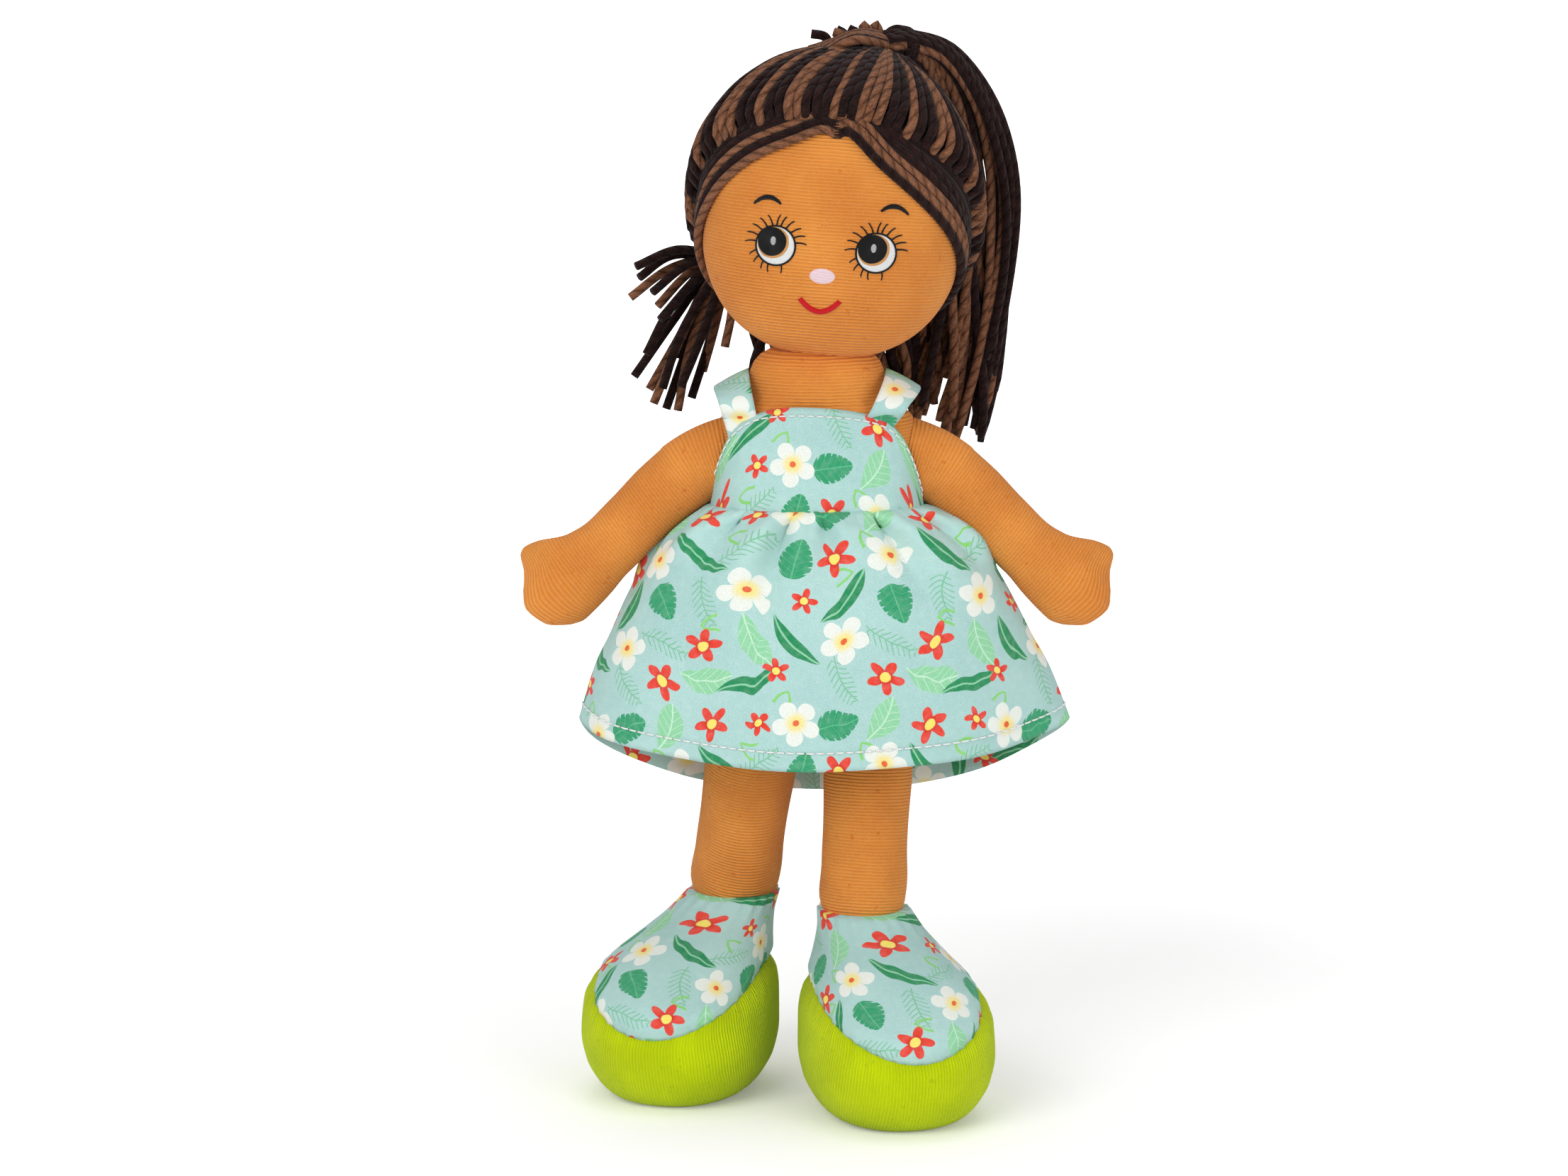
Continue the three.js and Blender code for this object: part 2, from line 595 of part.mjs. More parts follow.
function onFace(x, z, lift) {
  return new THREE.Vector3(x, faceDepth(x, z) - lift, z);
}

// An oval of satin stitch.
function stitchedOval(x, z, halfWidth, halfHeight, lift, columns = 12) {
  const ring = (size, level) => ringAngles(columns).map((angle) =>
    onFace(x + size * halfWidth * Math.cos(angle), z + size * halfHeight * Math.sin(angle), level));
  const top = lift + threadWall;
  const [under, over] = [onFace(x, z, lift), onFace(x, z, top)];
  return skinOver([ring(0.5, lift), ring(1, lift), ring(1, top), ring(0.5, top)], under, over);
}

// A curved line of satin stitch, sagging or rising between its ends.
function stitchedArc(x, z, halfWidth, rise, thickness, lift) {
  const rows = rowShares(6).map((share) => {
    const u = 2 * share - 1;
    const height = z + rise * (1 - u * u);
    const half = (thickness / 2) * Math.sqrt(1 - 0.8 * u * u);
    const place = x + u * halfWidth;
    return [[-half, lift], [half, lift], [half, lift + threadWall], [-half, lift + threadWall]].map(
      ([across, level]) => onFace(place, height + across, level));
  });
  const endPoint = (row) => row[0].clone().add(row[2]).divideScalar(2);
  return skinOver(rows, endPoint(rows[0]), endPoint(rows.at(-1)));
}

function buildFace(head) {
  for (const [side, sideSign] of [['right', -1], ['left', 1]]) {
    const x = (sideSign * eyeSpacing) / 2;
    const pupil = { x: x + pupilShift.x, z: eyeHeight + pupilShift.z };
    const level = (layer) => gap + layer * (threadWall + gap);
    addPiece(head, `${side}_eye_white`, stitchedOval(x, eyeHeight, eyeRadius, eyeRadius, level(0)), 'white');
    addPiece(head, `${side}_pupil`, stitchedOval(pupil.x, pupil.z, pupilRadius, pupilRadius, level(1)), 'black');
    const glint = stitchedOval(pupil.x, pupil.z, glintRadius, glintRadius, level(2), 8);
    addPiece(head, `${side}_eye_glint`, glint, 'white');
    const brow = stitchedArc((sideSign * browSpacing) / 2, browHeight, browHalfWidth, browRise, browThickness, gap);
    addPiece(head, `${side}_brow`, brow, 'black');
  }
  addPiece(head, 'nose', stitchedOval(0, noseHeight, noseHalfWidth, noseHalfHeight, gap), 'pink');
  const mouth = stitchedArc(0, mouthHeight, mouthHalfWidth, -mouthSag, mouthThickness, gap);
  addPiece(head, 'mouth', mouth, 'red');
}

// A plate whose outline, given in the face's plane, is run from a depth behind the face out past it.
function frontCutter(outline, back) {
  const shape = new THREE.Shape(outline);
  const depth = back + 2 * headHalfDepth;
  const plate = new THREE.ExtrudeGeometry(shape, { depth, bevelEnabled: false });
  plate.rotateX(Math.PI / 2); // the outline stands in XZ and runs towards -Y
  return plate.translate(0, back, 0);
}

// The face's hairline: [half width share, drop below the peak as a share of the head's half height].
const hairlineShares = [[0, 0], [0.3, 0.08], [0.55, 0.24], [0.8, 0.44], [0.99, 0.68]];

// Behind the ears the hairline slants down from the ends of the face's hairline to the nape.
function napeCutter() {
  const sideHeight = hairlinePeak - hairlineShares.at(-1)[1] * headHalfHeight;
  const floorZ = headRise - 2 * headHalfHeight;
  const behind = 3 * headHalfDepth;
  const front = -wigThickness; // it runs a little into the space that the face's cutter clears
  const corners = [
    [front, sideHeight], [headHalfDepth, napeHeight], [behind, napeHeight], [behind, floorZ], [front, floorZ],
  ];
  const outline = corners.map(([y, z]) => new THREE.Vector2(y, z));
  const depth = 4 * headHalfWidth;
  const plate = new THREE.ExtrudeGeometry(new THREE.Shape(outline), { depth, bevelEnabled: false });
  plate.translate(0, 0, -depth / 2);
  return plate.rotateX(Math.PI / 2).rotateZ(Math.PI / 2); // the outline stands in YZ
}

// The seam of the upper hair layer, with the same shares.
const fringeSeamShares = [[0, 0], [0.4, 0.015], [0.62, 0.14], [0.9, 0.32], [1.08, 0.6], [1.2, 0.98]];

function archOutline(shares, peak) {
  const arch = shares.map(([x, drop]) => [x * headHalfWidth, peak - drop * headHalfHeight]);
  const floorZ = headRise - 2 * headHalfHeight;
  const wide = headHalfWidth * 2;
  const rightHalf = [[wide, floorZ], [wide, arch.at(-1)[1]], ...arch.toReversed()];
  const leftHalf = rightHalf.slice(0, -1).reverse().map(([x, z]) => [-x, z]);
  return [...rightHalf, ...leftHalf].map(([x, z]) => new THREE.Vector2(x, z));
}

// A hank of yarn: a tube along a smooth route, with its half width and half depth at each point.
function yarnHank(route, columns = 10, steps = 12) {
  const curve = new THREE.CatmullRomCurve3(route.map((r) => new THREE.Vector3(r.x, r.y, r.z)));
  const rows = rowShares(steps).map((share) => {
    const centre = curve.getPoint(share);
    const tangent = curve.getTangent(share);
    const place = share * (route.length - 1);
    const low = Math.min(Math.floor(place), route.length - 2);
    const wide = THREE.MathUtils.lerp(route[low].wide, route[low + 1].wide, place - low);
    const deep = THREE.MathUtils.lerp(route[low].deep, route[low + 1].deep, place - low);
    const depthAxis = new THREE.Vector3(0, 1, 0).addScaledVector(tangent, -tangent.y).normalize();
    const widthAxis = new THREE.Vector3().crossVectors(tangent, depthAxis);
    return ringAngles(columns).map((angle) => centre.clone()
      .addScaledVector(widthAxis, wide * Math.cos(angle))
      .addScaledVector(depthAxis, deep * Math.sin(angle)));
  });
  return skinOver(rows, curve.getPoint(0), curve.getPoint(1));
}

// Routes of the loose hair, from where the yarn is tied or sewn down to its cut ends.
function hairRoutes() {
  const layer = 2 * gap + wigThickness;
  const behind = headHalfDepth + layer + backHairThickness / 2;
  const crown = headRise + headHalfHeight + layer + fringeThickness;
  const beside = headHalfWidth + layer;
  const tie = { x: headHalfWidth * 0.32, y: headHalfDepth * 0.4, z: crown };
  const tied = new THREE.Vector3(tie.x, tie.y, tie.z).addScaledVector(tieDirection, tieLength);
  const [wide, deep] = [ponytailRadius, ponytailRadius * ponytailFlatShare];
  return {
    tie,
    ponytail: [
      { ...tie, wide: ponytailTieRadius, deep: ponytailTieRadius },
      { x: tied.x, y: tied.y, z: tied.z, wide: ponytailTieRadius, deep: ponytailTieRadius },
      { x: headHalfWidth * 0.72, y: headHalfDepth * 0.9, z: crown - wide * 0.6, wide: deep, deep },
      { x: beside * 0.94, y: behind, z: headRise + headHalfHeight * 0.55, wide: wide * 0.8, deep },
      { x: beside, y: behind, z: headRise * 0.55, wide, deep },
      { x: beside * 0.98, y: behind, z: headRise * 0.1, wide: wide * 1.1, deep },
      { x: beside * 0.94, y: behind, z: hairEnd, wide: wide * 0.8, deep: deep * 0.6 },
    ],
    sideLock: [
      { x: -headHalfWidth * 0.8, y: headHalfDepth * 0.75, z: headRise * 0.8, wide: wide * 0.5, deep: deep * 0.6 },
      { x: -headHalfWidth * 1.02, y: headHalfDepth * 0.85, z: headRise * 0.5, wide: wide * 0.9, deep },
      { x: -headHalfWidth * 1.2, y: headHalfDepth * 0.85, z: headRise * 0.2, wide: wide * 1.1, deep },
      { x: -headHalfWidth * 1.22, y: headHalfDepth * 0.85, z: hairEnd * 0.9, wide: wide * 0.7, deep: deep * 0.6 },
    ],
    backHair: [
      { x: 0, y: behind, z: headRise * 1.1, wide: backHairHalfWidth * 0.8, deep: backHairThickness * 0.35 },
      { x: 0, y: behind, z: headRise * 0.7, wide: backHairHalfWidth, deep: backHairThickness / 2 },
      { x: 0, y: behind, z: headRise * 0.2, wide: backHairHalfWidth, deep: backHairThickness / 2 },
      { x: 0, y: behind, z: hairEnd, wide: backHairHalfWidth * 0.95, deep: backHairThickness * 0.35 },
    ],
  };
}

// The elastic round the gathered yarn, and the short yarn ends that stand up beside it.
function buildCrown(head, tie, overFringe) {
  const ring = new THREE.TorusGeometry(ponytailTieRadius + tieThickness, tieThickness / 2, 6, 12);
  ring.applyQuaternion(new THREE.Quaternion().setFromUnitVectors(new THREE.Vector3(0, 0, 1), tieDirection));
  const place = tieDirection.clone().multiplyScalar(tieLength / 2);
  ring.translate(tie.x + place.x, tie.y + place.y, tie.z + place.z);
  addPiece(head, 'hair_tie', cut(ring, overFringe), 'darkYarn');
  tuftPlaces.forEach(([out, lean, rise], i) => {
    const foot = { x: tie.x - out, y: tie.y + lean, z: tie.z - tuftRadius, wide: tuftRadius, deep: tuftRadius };
    const end = { ...foot, x: foot.x - rise / 2, z: tie.z + rise, wide: tuftRadius * 0.8, deep: tuftRadius * 0.8 };
    addPiece(head, `crown_tuft_${i + 1}`, cut(yarnHank([foot, end], 8, 2), overFringe), 'brownYarn');
  });
}

function buildHair(head) {
  const scalp = roundedHead(gap, headColumns, headLayers);
  const nape = napeCutter();
  const face = frontCutter(archOutline(hairlineShares, hairlinePeak), 0);
  const wig = roundedHead(gap + wigThickness, headColumns, headLayers);
  addPiece(head, 'hair_wig', cut(wig, scalp, face, nape), 'darkYarn');

  const wigSurface = roundedHead(2 * gap + wigThickness, headColumns, headLayers);
  const fringeEdge = frontCutter(archOutline(fringeSeamShares, fringeSeamPeak), 0);
  const fringe = roundedHead(2 * gap + wigThickness + fringeThickness, headColumns, headLayers);
  addPiece(head, 'hair_fringe', cut(fringe, wigSurface, fringeEdge, nape), 'brownYarn');

  const overFringe = roundedHead(3 * gap + wigThickness + fringeThickness, headColumns, headLayers);
  const routes = hairRoutes();
  const ponytail = cut(yarnHank(routes.ponytail), overFringe);
  addPiece(head, 'ponytail', ponytail, 'darkYarn');
  buildCrown(head, routes.tie, overFringe);
  addPiece(head, 'side_lock', cut(yarnHank(routes.sideLock, 10, 8), overFringe), 'brownYarn');
  addPiece(head, 'back_hair', cut(yarnHank(routes.backHair, 16, 6), overFringe), 'darkYarn');
}

buildFoot('right', rightAnkle, rightFoot);
buildFoot('left', leftAnkle, leftFoot);
buildLeg('right', -hipSpacing / 2, rightAnkle);
buildLeg('left', hipSpacing / 2, leftAnkle);
buildTorso();
buildArm('right', -1);
buildArm('left', 1);
buildBodice();
buildClosure();
buildSkirt();
buildStrap('right', -1);
buildStrap('left', 1);

const neck = new THREE.Group();
neck.position.set(0, 0, nodHeight);
doll.add(neck);
addPiece(neck, 'neck', neckRows(0), 'skin');

const head = new THREE.Group();
head.rotation.set(0, headTilt, headYaw);
neck.add(head);
const headTurned = new THREE.Matrix4().makeRotationFromEuler(head.rotation).invert();
const neckSocket = neckRows(socketGap).applyMatrix4(headTurned);
const headShape = (grow) => roundedHead(grow, headColumns, headLayers);
addPiece(head, 'head_cover', cut(headShape(0), headShape(-skinWall), neckSocket), 'skin');
addPiece(head, 'head_stuffing', cut(headShape(-skinWall - stuffingGap), neckSocket), 'stuffing');
buildFace(head);
buildHair(head);

// The origin is on the floor, under the middle of the doll's outer box.
const middle = new THREE.Box3().setFromObject(doll, true).getCenter(new THREE.Vector3());
doll.position.set(-middle.x, -middle.y, 0);
group.name = 'rag_doll';

export default group;
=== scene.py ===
"""A stuffed cloth doll with yarn hair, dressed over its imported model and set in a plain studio.

All places are in metres in the model's own frame: +Z up, the doll faces -Y, and "left" is +X.
"""

from __future__ import annotations

import logging
import math
from dataclasses import dataclass
from enum import Enum
from typing import Any, Sequence

import bpy
import numpy as np
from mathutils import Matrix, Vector

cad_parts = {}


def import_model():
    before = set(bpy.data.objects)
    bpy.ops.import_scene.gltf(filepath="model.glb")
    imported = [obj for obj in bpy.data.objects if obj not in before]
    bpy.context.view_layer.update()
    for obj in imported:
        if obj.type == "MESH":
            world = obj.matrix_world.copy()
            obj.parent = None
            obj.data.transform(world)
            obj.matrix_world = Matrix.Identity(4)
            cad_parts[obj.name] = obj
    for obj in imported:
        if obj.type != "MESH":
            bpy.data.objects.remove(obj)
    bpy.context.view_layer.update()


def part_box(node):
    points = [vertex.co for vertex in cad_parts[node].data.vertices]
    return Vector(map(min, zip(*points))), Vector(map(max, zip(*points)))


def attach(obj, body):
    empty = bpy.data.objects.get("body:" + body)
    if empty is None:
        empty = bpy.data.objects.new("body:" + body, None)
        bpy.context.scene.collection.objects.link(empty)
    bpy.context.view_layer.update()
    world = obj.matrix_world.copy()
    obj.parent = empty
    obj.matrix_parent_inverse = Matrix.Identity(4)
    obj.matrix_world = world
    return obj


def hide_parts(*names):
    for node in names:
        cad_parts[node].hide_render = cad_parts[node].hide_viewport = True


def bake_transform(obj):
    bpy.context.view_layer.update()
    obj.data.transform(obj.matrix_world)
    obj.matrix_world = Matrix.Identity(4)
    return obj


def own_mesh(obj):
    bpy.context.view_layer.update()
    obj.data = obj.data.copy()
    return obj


LOG = logging.getLogger("rag_doll")
MM = 0.001
CLOTH_MAP = "cloth"

# How much further along the cloth coordinates of each strand start, so that no two look alike.
STRAND_OFFSET = 0.0137

# How far a running stitch stands off the cloth at each of its points, in millimetres.
STITCH_RISE = (-0.1, 0.12, 0.12, -0.1)

Table = Sequence[Sequence[float]]
Pair = tuple[float, float]


class Side(Enum):
    """The doll's two sides, with the sign of X on each."""

    RIGHT = -1
    LEFT = 1

    @property
    def word(self) -> str:
        """The side as it stands in node and body names."""
        return self.name.lower()


# Number tools


def eased(table: Table, place: np.ndarray | float, column: int = 1) -> np.ndarray:
    """Reads a smooth value from a table, by a cubic between rows that never overshoots them.

    Args:
        table: Rows of a place and its values, with the places rising.
        place: Where to read.
        column: Which value of a row.

    Returns:
        The values at those places.
    """
    rows = np.asarray(table, float)
    x, y = rows[:, 0], rows[:, column]
    step = np.diff(x)
    slope = np.diff(y) / step
    tangent = np.zeros_like(y)
    product = slope[:-1] * slope[1:]
    total = slope[:-1] + slope[1:]
    tangent[1:-1] = np.where(product > 0, 2 * product / np.where(total == 0, 1, total), 0)
    tangent[0], tangent[-1] = slope[0], slope[-1]
    place = np.clip(np.asarray(place, float), x[0], x[-1])
    i = np.clip(np.searchsorted(x, place, side="right") - 1, 0, len(x) - 2)
    t = (place - x[i]) / step[i]
    start = (1 + 2 * t) * (1 - t) ** 2 * y[i] + t * (1 - t) ** 2 * step[i] * tangent[i]
    end = t**2 * (3 - 2 * t) * y[i + 1] + t**2 * (t - 1) * step[i] * tangent[i + 1]
    return start + end


def smooth_route(points: np.ndarray, count: int) -> np.ndarray:
    """Carries a curve through points by Catmull-Rom's formula, for one route or many at once.

    Args:
        points: The points, shaped (..., points, 3).
        count: How many points each route gets.

    Returns:
        The routes, shaped (..., count, 3).
    """
    before = 2 * points[..., :1, :] - points[..., 1:2, :]
    after = 2 * points[..., -1:, :] - points[..., -2:-1, :]
    padded = np.concatenate([before, points, after], axis=-2)
    place = np.linspace(0, points.shape[-2] - 1, count)
    i = np.minimum(place.astype(int), points.shape[-2] - 2)
    t = (place - i)[:, None]
    a, b, c, d = (padded[..., i + k, :] for k in range(4))
    return 0.5 * (2 * b + (c - a) * t + (2 * a - 5 * b + 4 * c - d) * t**2 + (3 * b - a - 3 * c + d) * t**3)


def superellipse(angle: np.ndarray, power: np.ndarray | float) -> np.ndarray:
    """How far a unit superellipse of that power reaches at each angle."""
    return (np.abs(np.cos(angle)) ** power + np.abs(np.sin(angle)) ** power) ** (-1 / power)


def unit(vectors: np.ndarray) -> np.ndarray:
    """The vectors at length 1."""
    return vectors / np.maximum(np.linalg.norm(vectors, axis=-1, keepdims=True), 1e-12)


def turned(points: np.ndarray, matrix: np.ndarray, place: np.ndarray) -> np.ndarray:
    """Turns points by a 3 by 3 matrix and then moves them."""
    return points @ matrix.T + place


def about_y(angle: float) -> np.ndarray:
    """The matrix of a turn about Y."""
    c, s = math.cos(angle), math.sin(angle)
    return np.array([[c, 0, s], [0, 1, 0], [-s, 0, c]])


def about_z(angle: float) -> np.ndarray:
    """The matrix of a turn about Z."""
    c, s = math.cos(angle), math.sin(angle)
    return np.array([[c, -s, 0], [s, c, 0], [0, 0, 1]])


def ring_angles(count: int) -> np.ndarray:
    """Angles round a full turn, from the doll's back by its right side to the front and on."""
    return np.linspace(-math.pi, math.pi, count, endpoint=False) - math.pi / 2


def bell(away: np.ndarray, width: float) -> np.ndarray:
    """A share that is 1 at no distance and fades in the shape of a bell over a width."""
    return np.exp(-((away / width) ** 2))


def looped(points: np.ndarray, axis: int = 0) -> np.ndarray:
    """A grid of points with its first ones again at the end of an axis."""
    return np.concatenate([points, np.take(points, [0], axis=axis)], axis=axis)


def run_along(points: np.ndarray, axis: int = 0) -> np.ndarray:
    """Adds up the lengths of a grid's steps along an axis.

    Args:
        points: The grid, whose last axis holds X, Y and Z.
        axis: The axis to run along.

    Returns:
        The length at each point, from 0 at the start.
    """
    steps = np.linalg.norm(np.diff(points, axis=axis), axis=-1)
    start = np.zeros_like(np.take(steps, [0], axis=axis))
    return np.concatenate([start, np.cumsum(steps, axis=axis)], axis=axis)


# Mesh tools


def to_object(
    name: str, points: np.ndarray, faces: list[np.ndarray], uvs: list[np.ndarray]
) -> bpy.types.Object:
    """Puts arrays of points and faces into a smooth-shaded mesh object at the origin.

    Args:
        name: The piece's name.
        points: The points, shaped (points, 3).
        faces: Arrays of faces, each shaped (faces, corners).
        uvs: For each array of faces, the cloth coordinates of its corners, in metres.

    Returns:
        The new object, linked to the scene.
    """
    mesh = bpy.data.meshes.new(name)
    mesh.from_pydata(points.tolist(), [], [face for group in faces for face in group.tolist()])
    layer = mesh.uv_layers.new(name=CLOTH_MAP)
    layer.data.foreach_set("uv", np.concatenate([group.reshape(-1, 2) for group in uvs]).ravel())
    mesh.polygons.foreach_set("use_smooth", np.ones(len(mesh.polygons), bool))
    mesh.update()
    piece = bpy.data.objects.new(name, mesh)
    bpy.context.scene.collection.objects.link(piece)
    return piece


def volume_sign(points: np.ndarray, faces: list[np.ndarray]) -> float:
    """Tells which way a surface's faces point, by the sum of their corner tetrahedra.

    Args:
        points: The points, shaped (points, 3).
        faces: Arrays of faces, each shaped (faces, corners).

    Returns:
        1 where they point outwards, and -1 where they point inwards.
    """
    total = 0.0
    for group in faces:
        for k in range(1, group.shape[1] - 1):
            a, b, c = points[group[:, 0]], points[group[:, k]], points[group[:, k + 1]]
            total += float(np.einsum("ij,ij->", a, np.cross(b, c)))
    return math.copysign(1, total)


def skin(
    name: str, points: np.ndarray, uv: np.ndarray, ends: bool = True, wrap: bool = True
) -> bpy.types.Object:
    """Lays a surface over a grid of points.

    Args:
        name: The piece's name.
        points: The grid, shaped (rows, columns, 3).
        uv: Cloth coordinates, shaped (rows, columns + 1, 2) where the rows are rings.
        ends: Whether the first and last rows are closed by a point at their middle.
        wrap: Whether each row is a ring.

    Returns:
        The new object. Where the rows are rings its faces point outwards.
    """
    rows, columns = points.shape[:2]
    across = columns if wrap else columns - 1
    grids = np.meshgrid(np.arange(rows - 1), np.arange(across), indexing="ij")
    row, column = (grid.ravel() for grid in grids)
    beside = (column + 1) % columns
    quads = np.stack([row * columns + column, row * columns + beside,
                      (row + 1) * columns + beside, (row + 1) * columns + column], axis=1)
    corners = [(row, column), (row, column + 1), (row + 1, column + 1), (row + 1, column)]
    quad_uv = np.stack([uv[r, c] for r, c in corners], axis=1)
    flat = points.reshape(-1, 3)
    faces, uvs = [quads], [quad_uv]
    if ends:
        column = np.arange(across)
        beside = (column + 1) % columns
        for end, order in ((0, (1, 0)), (rows - 1, (0, 1))):
            pole = np.full(across, len(flat))
            flat = np.vstack([flat, points[end].mean(axis=0)])
            pair = (end * columns + column, end * columns + beside)
            faces.append(np.stack([pole, pair[order[0]], pair[order[1]]], axis=1))
            pair_uv = (uv[end, column], uv[end, column + 1])
            between = (pair_uv[0] + pair_uv[1]) / 2
            uvs.append(np.stack([between, pair_uv[order[0]], pair_uv[order[1]]], axis=1))
    if wrap and volume_sign(flat - flat.mean(axis=0), faces) < 0:
        faces, uvs = [g[:, ::-1] for g in faces], [g[:, ::-1] for g in uvs]
    return to_object(name, flat, faces, uvs)


def strands(
    name: str, routes: np.ndarray, up: np.ndarray, radius: np.ndarray | float, sides: int = 8
) -> bpy.types.Object:
    """Carries a round section along many routes at once, as one mesh with closed ends.

    Args:
        name: The piece's name.
        routes: Centre lines, shaped (strands, steps, 3).
        up: A direction across each line, of the same shape.
        radius: One radius, or one for each step, shaped (strands, steps).
        sides: Corners of the section.

    Returns:
        The new object. Its cloth coordinates are the turn about the yarn and the length along it.
    """
    count, steps = routes.shape[:2]
    tangent = unit(np.gradient(routes, axis=1))
    side = unit(np.cross(tangent, up))
    rise = np.cross(side, tangent)
    angle = np.linspace(0, 2 * math.pi, sides, endpoint=False)
    size = np.broadcast_to(np.asarray(radius, float), (count, steps))[..., None, None]
    ring = np.cos(angle)[:, None] * side[:, :, None] + np.sin(angle)[:, None] * rise[:, :, None]
    points = (routes[:, :, None] + size * ring).reshape(-1, 3)
    grids = np.meshgrid(np.arange(count), np.arange(steps - 1), np.arange(sides), indexing="ij")
    s, k, a = (grid.ravel() for grid in grids)
    base = (s * steps + k) * sides
    beside = (a + 1) % sides
    quads = np.stack([base + a, base + beside, base + sides + beside, base + sides + a], axis=1)
    length = run_along(routes, 1) + STRAND_OFFSET * np.arange(count)[:, None]
    v = np.stack([length[s, k], length[s, k], length[s, k + 1], length[s, k + 1]], axis=1)
    u = np.stack([a, a + 1, a + 1, a], axis=1) / sides
    faces, uvs = [quads], [np.stack([u, v], axis=2)]
    grids = np.meshgrid(np.arange(count), np.arange(sides), indexing="ij")
    s, a = (grid.ravel() for grid in grids)
    for end, order in ((0, (1, 0)), (steps - 1, (0, 1))):
        pole = len(points) + s
        points = np.vstack([points, routes[:, end]])
        base = (s * steps + end) * sides
        pair = (base + a, base + (a + 1) % sides)
        faces.append(np.stack([pole, pair[order[0]], pair[order[1]]], axis=1))
        flat_u = np.stack([a + 0.5, a + order[0], a + order[1]], axis=1) / sides
        uvs.append(np.stack([flat_u, np.repeat(length[s, end][:, None], 3, axis=1)], axis=2))
    if volume_sign(points, faces) < 0:
        faces, uvs = [g[:, ::-1] for g in faces], [g[:, ::-1] for g in uvs]
    return to_object(name, points, faces, uvs)


def ring_uv(points: np.ndarray, along: np.ndarray) -> np.ndarray:
    """Cloth coordinates of rings: the widest ring's arc length round, and a length along.

    Args:
        points: The grid, shaped (rows, columns, 3).
        along: The length along the piece at each row.

    Returns:
        The coordinates, shaped (rows, columns + 1, 2).
    """
    arc = run_along(looped(points, 1), 1)
    widest = arc[int(np.argmax(arc[:, -1]))]
    middle = widest - widest[-1] / 2
    return np.stack(np.broadcast_arrays(middle, np.asarray(along)[:, None]), axis=2)


def cone_uv(slant: np.ndarray, apex: float, arc: np.ndarray) -> np.ndarray:
    """Cloth coordinates of a flared form laid out flat, so that a print keeps its shape all over it.

    A point at a slant distance from the cone's tip, and an arc along the edge, lies at the polar
    place whose angle is the arc over the edge's own distance.

    Args:
        slant: Slant length from the top row, shaped (rows, columns + 1).
        apex: Distance from the cone's tip to the top row.
        arc: Arc length from the front along the last row, shaped (columns + 1,).

    Returns:
        The coordinates, shaped (rows, columns + 1, 2).
    """
    reach = apex + slant
    angle = arc / reach[-1]
    return np.stack([reach * np.sin(angle), -reach * np.cos(angle)], axis=2)


def give(
    piece: bpy.types.Object, material: bpy.types.Material, slot: str, body: str | None, *nodes: str
) -> None:
    """Finishes a piece and reports it.

    Args:
        piece: The piece.
        material: Its material.
        slot: Not used.
        body: The body it rides on, or None where it is left on none.
        nodes: The CAD nodes it stands for.
    """
    piece.data.materials.append(material)
    if body:
        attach(piece, body)
    if nodes:
        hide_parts(*nodes)
    LOG.info("%s: %d faces", piece.name, len(piece.data.polygons))


def thicken(piece: bpy.types.Object, thickness: float, outwards: bool = False) -> None:
    """Gives a sheet its thickness.

    Args:
        piece: The sheet.
        thickness: How thick it gets.
        outwards: Whether it grows on its outer side rather than on its inner one.
    """
    wall = piece.modifiers.new("thickness", "SOLIDIFY")
    wall.thickness = thickness
    wall.offset = 1 if outwards else -1
    wall.use_even_offset = True


def middle_of(node: str) -> np.ndarray:
    """The middle of a CAD node's box."""
    low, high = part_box(node)
    return (np.array(low) + np.array(high)) / 2


# Materials


def linear(code: str) -> tuple[float, float, float, float]:
    """A screen colour such as #d98a3a as the linear colour that a shader takes."""
    parts = [int(code[i:i + 2], 16) / 255 for i in (1, 3, 5)]
    low = [c / 12.92 if c <= 0.04045 else ((c + 0.055) / 1.055) ** 2.4 for c in parts]
    return (low[0], low[1], low[2], 1.0)


class Wire:
    """A number on its way through a material's nodes, with Python's own signs for sums."""

    def __init__(self, graph: "Graph", socket: bpy.types.NodeSocket) -> None:
        """Wraps a node's output."""
        self.graph = graph
        self.socket = socket

    def __add__(self, other: Any) -> "Wire":
        """The sum."""
        return self.graph.math("ADD", self, other)

    __radd__ = __add__

    def __sub__(self, other: Any) -> "Wire":
        """The difference."""
        return self.graph.math("SUBTRACT", self, other)

    def __rsub__(self, other: Any) -> "Wire":
        """The difference, the other way round."""
        return self.graph.math("SUBTRACT", other, self)

    def __mul__(self, other: Any) -> "Wire":
        """The product."""
        return self.graph.math("MULTIPLY", self, other)

    __rmul__ = __mul__

    def __truediv__(self, other: Any) -> "Wire":
        """The quotient."""
        return self.graph.math("DIVIDE", self, other)

    def __pow__(self, other: Any) -> "Wire":
        """The power."""
        return self.graph.math("POWER", self, other)

    def __abs__(self) -> "Wire":
        """The number without its sign."""
        return self.graph.math("ABSOLUTE", self)


